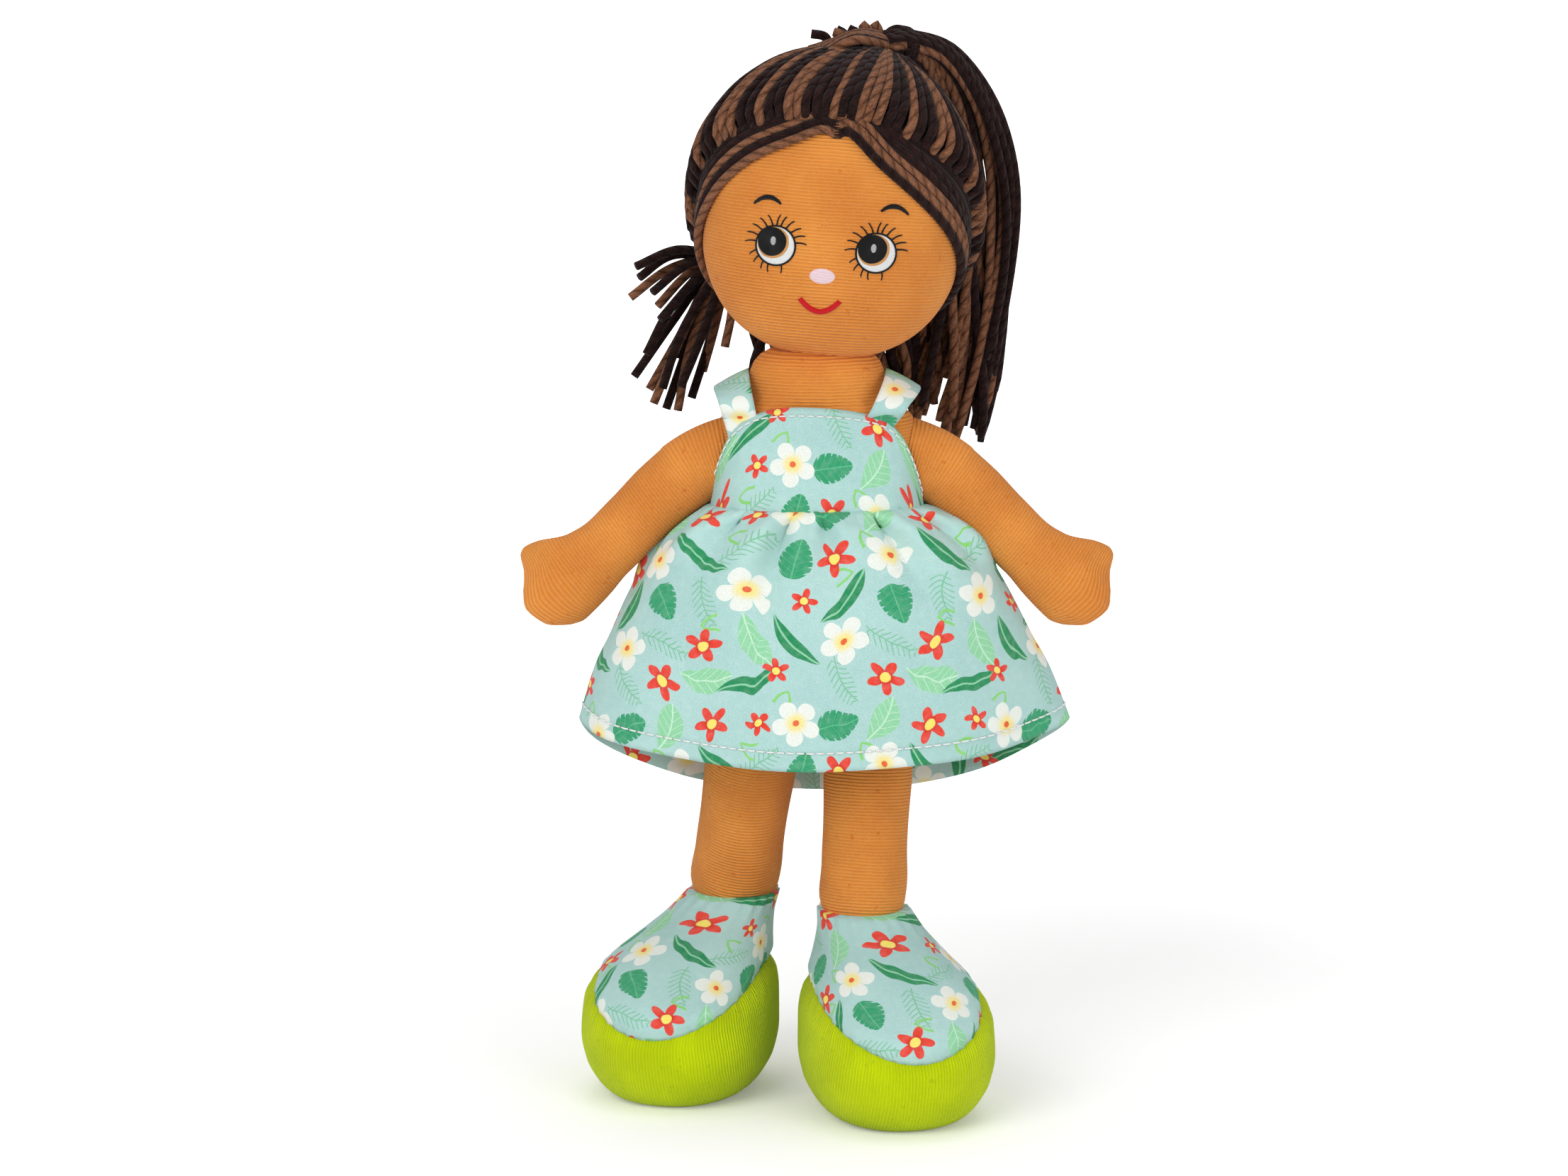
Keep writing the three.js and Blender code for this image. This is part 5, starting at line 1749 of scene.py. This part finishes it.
    def arc(self, place: Pair, half_width: float, rise: float, lean: float = 0.0) -> np.ndarray:
        """Lays out a line on the face as a parabola.

        Args:
            place: The middle between its ends.
            half_width: Half the width between them.
            rise: How far its middle stands above them.
            lean: How much higher one end lies and how much lower the other.

        Returns:
            The route, shaped (1, steps, 2).
        """
        u = np.linspace(-1, 1, 26)
        return np.stack([place[0] + half_width * u, place[1] + rise * (1 - u**2) + lean * u], axis=1)[None]

    def build(self) -> None:
        """Makes both eyes and brows, the nose and the mouth."""
        f = self.finishes
        u = np.linspace(-1, 1, 26)
        for side in Side:
            self.build_eye(side)
            place = (side.value * self.brow_spacing / 2, self.brow_height)
            brow = self.arc(place, *self.brow_size, -side.value * self.brow_lean)
            size = (0.36 + 0.42 * (1 - u**2)) * MM
            self.lines(f"{side.word}_brow_line", brow, size[None], 0.05 * MM,
                       f.line_thread, "black_thread", f"{side.word}_brow")
        self.oval("nose_patch", (self.nose_shift, self.nose_height), self.nose_size, (0.1 * MM, 0.6 * MM),
                  f.pink_thread, "pink_thread", "nose")
        mouth = self.arc((self.mouth_shift, self.mouth_height), self.mouth_size[0], -self.mouth_size[1])
        size = (1.0 - 0.12 * u**4) * MM
        self.lines("mouth_line", mouth, size[None], 0.0, f.red_thread, "red_thread", "mouth")


# Hair


@dataclass
class Hair:
    """Yarn hair: a cap sewn over the head, a rolled fringe drawn up to the crown, and loose hanks.

    Places are in the head's own frame, in millimetres, with azimuths in degrees from the front.
    """

    finishes: Finishes
    head: Head
    yarn: float = 1.56
    crown: tuple[float, float, float] = (9.5, 12.5, 111.8)
    roll_count: int = 80
    roll_seed: int = 3
    crown_seed: int = 5
    side_seed: int = 9
    ponytail_seeds: tuple[int, int] = (11, 13)
    back_seed: int = 21
    roll_edge: Table = (
        (-180, 16.0), (-150, 22.0), (-125, 34.0), (-102, 46.0), (-87, 59.5), (-70, 72.5), (-54, 80.5),
        (-40, 85.5), (-22, 88.5), (0, 89.5), (22, 88.0), (40, 83.0), (54, 77.5), (70, 68.5), (87, 57.5),
        (102, 46.0), (125, 34.0), (150, 22.0), (180, 16.0),
    )
    roll_lift: Table = (
        (0.0, 5.4), (0.12, 4.2), (0.4, 3.9), (0.7, 4.8), (0.88, 5.6), (0.96, 4.6), (1.0, 1.8),
    )
    hairline: Table = (
        (-180, 14.0), (-150, 18.5), (-120, 27.0), (-100, 33.0), (-84, 42.0), (-68, 54.0), (-51, 67.0),
        (-36, 75.5), (-20, 81.0), (-3, 85.5), (4, 85.5), (8, 84.0), (20, 76.0), (36, 67.0), (51, 58.5),
        (68, 48.5), (84, 39.0), (100, 32.5), (120, 27.0), (150, 18.5), (180, 14.0),
    )
    elastic_middle: tuple[float, float, float] = (16.5, 16.2, 110.6)
    elastic_radius: float = 6.1
    elastic_cord: float = 1.05

    def direction(self, azimuth: np.ndarray, height: np.ndarray) -> np.ndarray:
        """The direction from the head's middle to the place on its surface at an azimuth and a height.

        Args:
            azimuth: The azimuths.
            height: The heights.

        Returns:
            The directions.
        """
        down = np.clip((height * MM - self.head.rise) / self.head.half_height, -0.999, 0.999)
        spread = (1 - np.abs(down) ** self.head.power) ** (1 / self.head.power)
        turn = np.radians(azimuth)
        reach = superellipse(turn, self.head.power)
        x = self.head.half_width * spread * reach * np.sin(turn)
        y = -self.head.half_depth * spread * reach * np.cos(turn)
        return np.stack(np.broadcast_arrays(x, y, down * self.head.half_height), axis=-1)

    @property
    def middle(self) -> np.ndarray:
        """The middle of the head, in its own frame."""
        return np.array([0, 0, self.head.rise])

    def colours(self, pattern: Sequence[int], count: int) -> np.ndarray:
        """Which of a number of yarns are dark, by a pattern of ones and noughts that repeats."""
        return np.resize(np.array(pattern, bool), count)

    def make(self, name: str, routes: np.ndarray, up: np.ndarray, radius: np.ndarray | float, dark: bool,
             *nodes: str) -> None:
        """Makes yarns along routes of the head's frame in metres, and rides them on the head."""
        finish = self.finishes.dark_yarn if dark else self.finishes.brown_yarn
        piece = strands(name, self.head.placed(routes), up @ self.head.turn.T, radius, 9)
        give(piece, finish, "dark_yarn" if dark else "brown_yarn", "head", *nodes)

    def split(self, name: str, routes: np.ndarray, up: np.ndarray, radius: np.ndarray, dark: np.ndarray,
              nodes: tuple[tuple[str, ...], tuple[str, ...]] = ((), ())) -> None:
        """Makes two pieces of a set of yarns, one of each colour.

        Args:
            name: What both names start with.
            routes: The yarns' centre lines in the head's frame, shaped (yarns, steps, 3).
            up: A direction across them at each point.
            radius: Their radius at each point.
            dark: Which of them are dark.
            nodes: The CAD nodes that the dark piece stands for, and those of the brown one.
        """
        radius = np.broadcast_to(radius, routes.shape[:2])
        for is_dark, word, stands_for in ((True, "dark", nodes[0]), (False, "brown", nodes[1])):
            chosen = dark == is_dark
            self.make(f"{name}_{word}", routes[chosen], up[chosen], radius[chosen], is_dark, *stands_for)

    def build_cap(self) -> None:
        """Makes the base under the yarns: a shell from the crown to the hairline with its edge turned in."""
        azimuth = np.degrees(ring_angles(120) + math.pi / 2)
        edge = self.direction(azimuth, eased(self.hairline, azimuth) + 1.6)
        top = np.array([0.0, 0.0, 1.0]) * self.head.half_height
        share = np.linspace(0.04, 1, 30)[:, None, None]
        bow = top * np.cos(share * math.pi / 2) + edge * np.sin(share * math.pi / 2)
        lift = (2.3 - 1.4 * np.clip((share[..., 0] - 0.86) / 0.14, 0, 1) ** 2) * MM + 0 * azimuth
        outer = self.head.on_surface(bow, lift)
        inner = self.head.on_surface(bow[-1:] * 0.98, np.full((1, len(azimuth)), -1.2 * MM))
        points = np.concatenate([outer, inner])
        run = np.linspace(0, 0.11, len(points))
        piece = skin("hair_cap", self.head.placed(points), ring_uv(points, run))
        give(piece, self.finishes.dark_yarn, "dark_yarn", "head", "hair_wig")

    def build_roll(self) -> None:
        """Makes the yarns that come from the crown on all sides and roll under at the seam."""
        rng = seeded(self.roll_seed)
        middle = self.middle
        azimuth = np.linspace(-180, 180, self.roll_count, endpoint=False) + 1.9
        edge = eased(self.roll_edge, azimuth) + rng.uniform(-0.5, 0.5, self.roll_count)
        end = self.direction(azimuth, edge)
        crown = np.array(self.crown) * MM - middle
        turn = np.radians(azimuth)
        ring = np.stack([np.sin(turn), -np.cos(turn), 0 * turn], axis=1)
        spread = np.array([14.0, 10.0, 0.0]) + rng.uniform(-1.5, 1.5, (self.roll_count, 1))
        start = crown + ring * spread * MM

        # Each yarn runs along a great circle from the crown to its place on the seam, and sways a little.
        share = np.linspace(0, 1, 26)
        start_way, end_way = unit(start), unit(end)
        between = np.arccos(np.clip(np.sum(start_way * end_way, axis=1), -1, 1))[:, None, None]
        from_crown = np.sin((1 - share[:, None]) * between) * start_way[:, None]
        way = from_crown + np.sin(share[:, None] * between) * end_way[:, None]
        lift = eased(self.roll_lift, share) + rng.uniform(-0.25, 0.25, (self.roll_count, 1))
        wander = 0.35 * np.sin(share * 7 + rng.uniform(0, 6, (self.roll_count, 1)))
        routes = self.head.on_surface(way, (lift + wander * 0.4) * MM)
        side = unit(np.cross(np.gradient(routes, axis=1), routes - middle))
        routes = routes + side * (wander * MM)[..., None]
        last = routes[:, -1]
        tuck = last + unit(routes[:, -2] - last) * 1.2 * MM - unit(last - middle) * 2.0 * MM
        routes = np.concatenate([routes, tuck[:, None]], axis=1)
        size = self.yarn * (1 + rng.uniform(-0.06, 0.06, (self.roll_count, 1))) * MM
        dark = self.colours((1, 1, 0, 0, 1, 1, 1, 0, 1, 1, 0, 0, 0, 1, 1, 0), self.roll_count)
        self.split("rolled_hair", routes, routes - middle, size, dark, ((), ("hair_fringe",)))

    def build_parting(self) -> None:
        """Makes the yarns that lie along the hairline, parted in the middle and drawn back over the ears."""
        middle = self.middle
        rows = np.arange(5)
        azimuth = np.linspace(-1.5, 128, 44)
        for side in Side:
            height = eased(self.hairline, side.value * azimuth) + 0.6
            start = 1.2 * bell(azimuth, 5)
            lower = self.direction(side.value * azimuth, height - start)
            upper = self.direction(side.value * azimuth, height - start + 1)
            step = unit(upper - lower)
            along = unit(np.gradient(self.head.on_surface(lower, 0.0), axis=0))
            across = unit(np.cross(unit(lower), along)) * -side.value
            across = np.where(np.sum(across * step, axis=1, keepdims=True) < 0, -across, across)
            base = self.head.on_surface(lower, 1.25 * MM)
            offset = (rows * 2.45 * MM)[:, None, None] * across
            way = base + offset - middle
            lift = (1.3 + 0.25 * np.sin(azimuth / 9 + rows[:, None])) * MM
            lift[:, :2] -= 0.8 * MM
            routes = self.head.on_surface(way, lift)
            dark = self.colours((0, 1, 0, 1, 1) if side is Side.RIGHT else (1, 0, 0, 1, 1), len(rows))
            size = np.full((1, len(azimuth)), self.yarn * 0.92 * MM)
            self.split(f"{side.word}_parting", routes, routes - middle, size, dark)

    def hank(self, route: Table, count: int, steps: int, seed: int, ends: Pair,
             loose: float = 0.16) -> tuple[np.ndarray, np.ndarray]:
        """Spreads yarns through a hank and lets their ends fall at different lengths.

        Args:
            route: Points of the hank, each x, y, z, half width and half depth in millimetres.
            count: How many yarns.
            steps: Points along each.
            seed: For the small differences.
            ends: Least and most share of the route that a yarn reaches.
            loose: How far the yarns sway towards their ends, as a share of the hank.

        Returns:
            The routes in metres, and the directions across them.
        """
        rng = seeded(seed)
        fine = 80
        line = smooth_route(np.array(route)[:, :3], fine)
        size = smooth_route(np.column_stack([np.array(route)[:, 3:], np.zeros(len(route))]), fine)
        reach = rng.uniform(*ends, count)
        place = reach[:, None] * np.linspace(0, 1, steps) * (fine - 1)
        at = np.stack([np.interp(place, np.arange(fine), line[:, k]) for k in range(3)], axis=2)
        wide, deep = (np.interp(place, np.arange(fine), size[:, k]) for k in range(2))
        tangent = unit(np.gradient(at, axis=1))
        depth_axis = unit(np.array([0.0, 1.0, 0.0]) - tangent * tangent[..., 1:2])
        width_axis = np.cross(tangent, depth_axis)
        disc = disc_spread(count)
        drift = rng.uniform(0, 6, (count, 2, 1))
        sway = np.linspace(0, 1, steps) * 6
        pace = rng.uniform(0.8, 2.2, (count, 1))
        a = disc[:, :1] + loose * np.sin(pace * sway + drift[:, 0]) * (sway / 6) ** 0.6
        b = disc[:, 1:] + loose * np.sin(pace * sway * 0.8 + drift[:, 1]) * (sway / 6) ** 0.6
        routes = at + (wide * a)[..., None] * width_axis + (deep * b)[..., None] * depth_axis
        return routes * MM, np.broadcast_to(depth_axis, routes.shape)

    def build_tail(self, name: str, route: Table, count: int, seed: int, pattern: Sequence[int],
                   *nodes: str) -> None:
        """Makes one hank of the ponytail, of yarns that are thinner near the tie and at their ends.

        Args:
            name: What the names of its two pieces start with.
            route: Points of the hank, as for any hank.
            count: How many yarns.
            seed: For the small differences.
            pattern: Which of them are dark.
            nodes: The CAD nodes that its dark yarns stand for.
        """
        steps = 44
        routes, up = self.hank(route, count, steps, seed, (0.86, 1.0), 0.3)
        thickness = np.interp(np.linspace(0, 1, steps), [0, 0.1, 0.3, 0.98, 1], [0.75, 0.8, 1, 1, 0.75])
        size = thickness * self.yarn * MM
        self.split(name, routes, up, size[None], self.colours(pattern, count), (nodes, ()))

    def build_elastic(self) -> None:
        """Makes the elastic round the ponytail's root, as three turns of cord."""
        turn = np.linspace(0, 2 * math.pi, 40)
        axis = unit(np.array([0.6, 0.7, -0.1]))
        first = unit(np.cross(axis, np.array([0.0, 0.0, 1.0])))
        second = np.cross(axis, first)
        middle = np.array(self.elastic_middle) * MM
        circle = (np.cos(turn)[:, None] * first + np.sin(turn)[:, None] * second) * self.elastic_radius * MM
        rings = np.stack([middle + axis * shift * MM + circle for shift in (-1.6, 0.2, 1.9)])
        up = np.broadcast_to(axis, rings.shape)
        self.make("elastic", rings, up, self.elastic_cord * MM, True, "hair_tie")

    def build_ponytail(self) -> None:
        """Makes the high side ponytail and the elastic at its root."""
        inner = ((12.0, 10.0, 110.5, 4.6, 4.0), (18.0, 17.0, 110.5, 4.4, 4.4), (27.0, 30.0, 103.5, 7.0, 6.0),
                 (35.0, 41.0, 84.0, 8.0, 6.5), (38.5, 43.6, 58.0, 9.6, 7.0), (40.0, 43.6, 32.0, 11.5, 7.4),
                 (40.0, 42.6, 6.0, 12.5, 7.4), (39.0, 42.6, -22.0, 13.0, 6.4))
        outer = ((12.0, 9.0, 112.5, 3.0, 2.4), (20.0, 15.0, 113.0, 3.0, 3.0), (33.0, 24.0, 108.0, 3.6, 3.4),
                 (45.5, 35.0, 91.0, 3.8, 4.0), (52.5, 41.0, 68.0, 4.4, 4.4), (53.5, 42.6, 42.0, 5.6, 5.0),
                 (52.0, 42.6, 12.0, 6.0, 5.4), (49.0, 42.6, -19.0, 6.0, 5.4))
        first, second = self.ponytail_seeds
        self.build_tail("ponytail_yarns", inner, 30, first, (1, 0, 0, 1, 0, 0, 0), "ponytail")
        self.build_tail("outer_yarns", outer, 14, second, (1, 1, 1, 1, 0))
        self.build_elastic()

    def build_crown(self) -> None:
        """Makes the gathered yarns over the crown, which lead to the tie, and the short ends beside it."""
        middle = self.middle
        rng = seeded(self.crown_seed)
        count = 16
        spread = np.linspace(-1, 1, count)
        start = np.stack([-9 + 3 * spread, -7 * spread + 2, np.full(count, 108.0)], axis=1)
        over = np.stack([3 + 0 * spread, -8.5 * spread + 6, 114.6 - 1.6 * spread**2], axis=1)
        tie = np.stack([14 + 0 * spread, 13 - 3.6 * spread, 113.2 - 2.2 * spread**2], axis=1)
        end = tie + np.array([5.0, 5.0, -2.0])
        routes = smooth_route(np.stack([start, over, tie, end], axis=1), 24) * MM
        dark = self.colours((0, 0, 1, 0), count)
        self.split("crown_gather", routes, routes - middle, np.full((1, 24), self.yarn * MM), dark)

        # The short ends, each by its foot's two places, how far it leans and how far it rises.
        ends = ((7.5, 10, -3.5, 7.5), (5.5, 12, -5.5, 5.5), (-1.0, 14, -3.0, 5.0),
                (9.0, 14, -1.0, 8.0), (0.5, 9, -5.0, 4.5), (-6.0, 14, -6.0, 3.0))
        routes = []
        for x, y, lean, rise in ends:
            foot = np.array([x, y, 110.0])
            tip = foot + np.array([lean, rng.uniform(-2, 2), rise])
            bend = (foot + tip) / 2 + np.array([1.2, 0, 1.0])
            routes.append(smooth_route(np.array([foot, bend, tip]), 10))
        routes = np.array(routes) * MM
        nodes = (("crown_tuft_1",), ("crown_tuft_2", "crown_tuft_3"))
        dark = self.colours((0, 1, 1, 0, 0, 1), len(ends))
        self.split("crown_ends", routes, routes - middle, np.full((1, 10), self.yarn * MM), dark, nodes)

    def build_side_lock(self) -> None:
        """Makes the loose yarns that spread out from behind the right side of the face."""
        tips = ((-64, 20, 33), (-63, 24, 29), (-66, 30, 21.5), (-58, 20, 25), (-57, 33, 19), (-55, 22, 16),
                (-63, 30, -4.5), (-58, 34, -9), (-59, 24, 4), (-56, 30, -13), (-52, 34, -15), (-53, 24, -7),
                (-48, 32, -15), (-47, 24, -6), (-34, 34, 7), (-44, 36, -11), (-50, 38, 2), (-41, 38, -2))
        rng = seeded(self.side_seed)
        tip = np.array(tips, float)
        count = len(tip)
        share = np.linspace(0, 1, count)
        root = np.stack([-30 + 5 * np.sin(5 * share), 34 + 3 * np.cos(4 * share), 46 - 6 * share], axis=1)
        behind = np.stack([-37 - 2 * np.cos(3 * share), 37.5 + 2 * np.sin(7 * share), 38 - 5 * share], axis=1)
        shift = np.stack([rng.uniform(-2, 2, count), rng.uniform(-2, 2, count), 3.5 - 2 * share], axis=1)
        bend = behind * 0.42 + tip * 0.58 + shift
        routes = smooth_route(np.stack([root, behind, bend, tip], axis=1), 30) * MM
        up = np.zeros_like(routes) + np.array([0.2, 1.0, 0.1])
        dark = self.colours((1, 1, 0, 1, 0), count)
        size = np.full((1, 30), self.yarn * 0.95 * MM)
        self.split("side_yarns", routes, up, size, dark, ((), ("side_lock",)))

    def build_back(self) -> None:
        """Makes the loose yarns that hang behind the head and neck."""
        route = ((0.0, 29.0, 78.0, 22.0, 3.0), (1.0, 41.0, 46.0, 27.0, 5.0), (3.0, 43.0, 12.0, 28.0, 5.6),
                 (4.0, 42.6, -22.0, 28.0, 4.6))
        count = 64
        routes, up = self.hank(route, count, 26, self.back_seed, (0.84, 1.0))
        dark = self.colours((1, 1, 0, 1, 0, 0), count)
        self.split("back_yarns", routes, up, np.full((1, 26), self.yarn * MM), dark, (("back_hair",), ()))

    def build(self) -> None:
        """Makes all the hair, from the cap outwards."""
        self.build_cap()
        self.build_parting()
        self.build_roll()
        self.build_back()
        self.build_side_lock()
        self.build_ponytail()
        self.build_crown()


# Studio


@dataclass
class Studio:
    """A white floor and backdrop, soft lights, and the camera at the photograph's place."""

    axis_y: float
    target: Pair = (-10.7 * MM, 167.8 * MM)
    distance: float = 1.6
    elevation: float = 10.0
    lens: float = 112.9

    def build_backdrop(self) -> None:
        """Makes the floor, which bends up behind into a wall, as one swept curve."""
        turn = np.linspace(0, math.pi / 2, 12)
        y = np.concatenate([[-1.5], 1.4 + 0.5 * np.sin(turn), [1.9]])
        z = np.concatenate([[0.0], 0.5 - 0.5 * np.cos(turn), [2.4]])
        x = np.linspace(-2.5, 2.5, 5)
        points = np.stack(np.broadcast_arrays(x, y[:, None], z[:, None]), axis=2)
        uv = points[..., :2]
        floor = skin("floor", points, uv, ends=False, wrap=False)
        g = Graph("backdrop")
        path = g.node("ShaderNodeLightPath")
        mirrored = g.math("MAXIMUM", path.outputs["Is Glossy Ray"], path.outputs["Is Transmission Ray"])
        seen = g.math("MAXIMUM", path.outputs["Is Camera Ray"], mirrored)
        material = g.finish(Base_Color=(0.93, 0.93, 0.93, 1.0), Roughness=0.9)
        g.feed(g.shader.inputs["Emission Color"], (1.0, 1.0, 1.0, 1.0))
        x, y, z = g.parts(g.node("ShaderNodeNewGeometry").outputs["Position"])
        away = g.math("SQRT", x * x + y * y + z * z)
        g.feed(g.shader.inputs["Emission Strength"], seen * (g.step(away, 0.2, 0.8) * 0.88 + 0.17))
        floor.data.materials.append(material)

    def light(self, name: str, place: tuple[float, float, float], size: float, watts: float) -> None:
        """Hangs a square soft light that faces the doll's middle.

        Args:
            name: Its name.
            place: Where it hangs.
            size: Its side's length.
            watts: Its power.
        """
        lamp = bpy.data.lights.new(name, "AREA")
        lamp.size = size
        lamp.energy = watts
        holder = bpy.data.objects.new(name, lamp)
        bpy.context.scene.collection.objects.link(holder)
        holder.location = place
        aim = Vector((0, 0, 0.18)) - Vector(place)
        holder.rotation_euler = aim.to_track_quat("-Z", "Y").to_euler()

    def build_world(self) -> None:
        """Makes the surroundings, which look white and light the doll less than they show."""
        world = bpy.data.worlds.new("studio")
        bpy.context.scene.world = world
        world.use_nodes = True
        tree = world.node_tree
        sky = tree.nodes["Background"]
        sky.inputs["Color"].default_value = (1.0, 1.0, 1.0, 1.0)
        path = tree.nodes.new("ShaderNodeLightPath")
        level = tree.nodes.new("ShaderNodeMapRange")
        tree.links.new(path.outputs["Is Camera Ray"], level.inputs["Value"])
        level.inputs["To Min"].default_value = 0.48
        level.inputs["To Max"].default_value = 1.0
        tree.links.new(level.outputs["Result"], sky.inputs["Strength"])

    def build_camera(self) -> None:
        """Sets up the camera."""
        scene = bpy.context.scene
        lens = bpy.data.cameras.new("camera")
        lens.lens = self.lens
        lens.sensor_width = 36
        lens.clip_end = 20
        camera = bpy.data.objects.new("camera", lens)
        scene.collection.objects.link(camera)
        lift = math.radians(self.elevation)
        aim = Vector((self.target[0], self.axis_y, self.target[1]))
        camera.location = aim + Vector((0, -math.cos(lift), math.sin(lift))) * self.distance
        camera.rotation_euler = (aim - camera.location).to_track_quat("-Z", "Y").to_euler()
        scene.camera = camera

    def build(self) -> None:
        """Makes the whole studio."""
        bpy.context.scene.view_settings.view_transform = "Standard"
        self.build_world()
        self.build_backdrop()
        self.light("key", (-0.9, -1.4, 1.1), 1.2, 17)
        self.light("fill", (1.1, -1.4, 0.35), 1.4, 13)
        self.light("top", (0.1, 0.2, 1.6), 1.2, 6)
        self.build_camera()


# How far from the middle and how high each leg is sewn on, and how high the ankles lie.
HIP_OUT = 18 * MM
HIP_HEIGHT = 133.5 * MM
ANKLE_HEIGHT = (63 + 14.2 * math.sin(math.radians(22))) * MM


def main() -> None:
    """Builds the doll's sub-assemblies in order, then the studio."""
    logging.basicConfig(level=logging.INFO, format="%(message)s")
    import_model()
    axis_y = float(middle_of("neck")[1])
    finishes = Finishes()
    shoes = (
        Shoe(finishes, Side.RIGHT, (-27 * MM, axis_y + 19 * MM), -17.0, -11 * MM),
        Shoe(finishes, Side.LEFT, (15 * MM, axis_y - 7 * MM), 12.0, 5.5 * MM),
    )
    for shoe in shoes:
        shoe.build()
        hip = np.array([shoe.side.value * HIP_OUT, axis_y, HIP_HEIGHT])
        radius = (15.0 if shoe.side is Side.RIGHT else 14.5) * MM
        Leg(finishes, shoe.side, hip, np.array([*shoe.ankle, ANKLE_HEIGHT]), radius).build()
    torso = Torso(finishes, axis_y)
    torso.build()
    for side in Side:
        shoulder = np.array([side.value * torso.shoulder_out, axis_y, torso.shoulder_height])
        Arm(finishes, side, shoulder).build()
    Dress(finishes, torso).build()
    head = Head(finishes, axis_y)
    head.build()
    Face(finishes, head).build()
    Hair(finishes, head).build()
    Studio(axis_y).build()


if __name__ == "__main__":
    main()
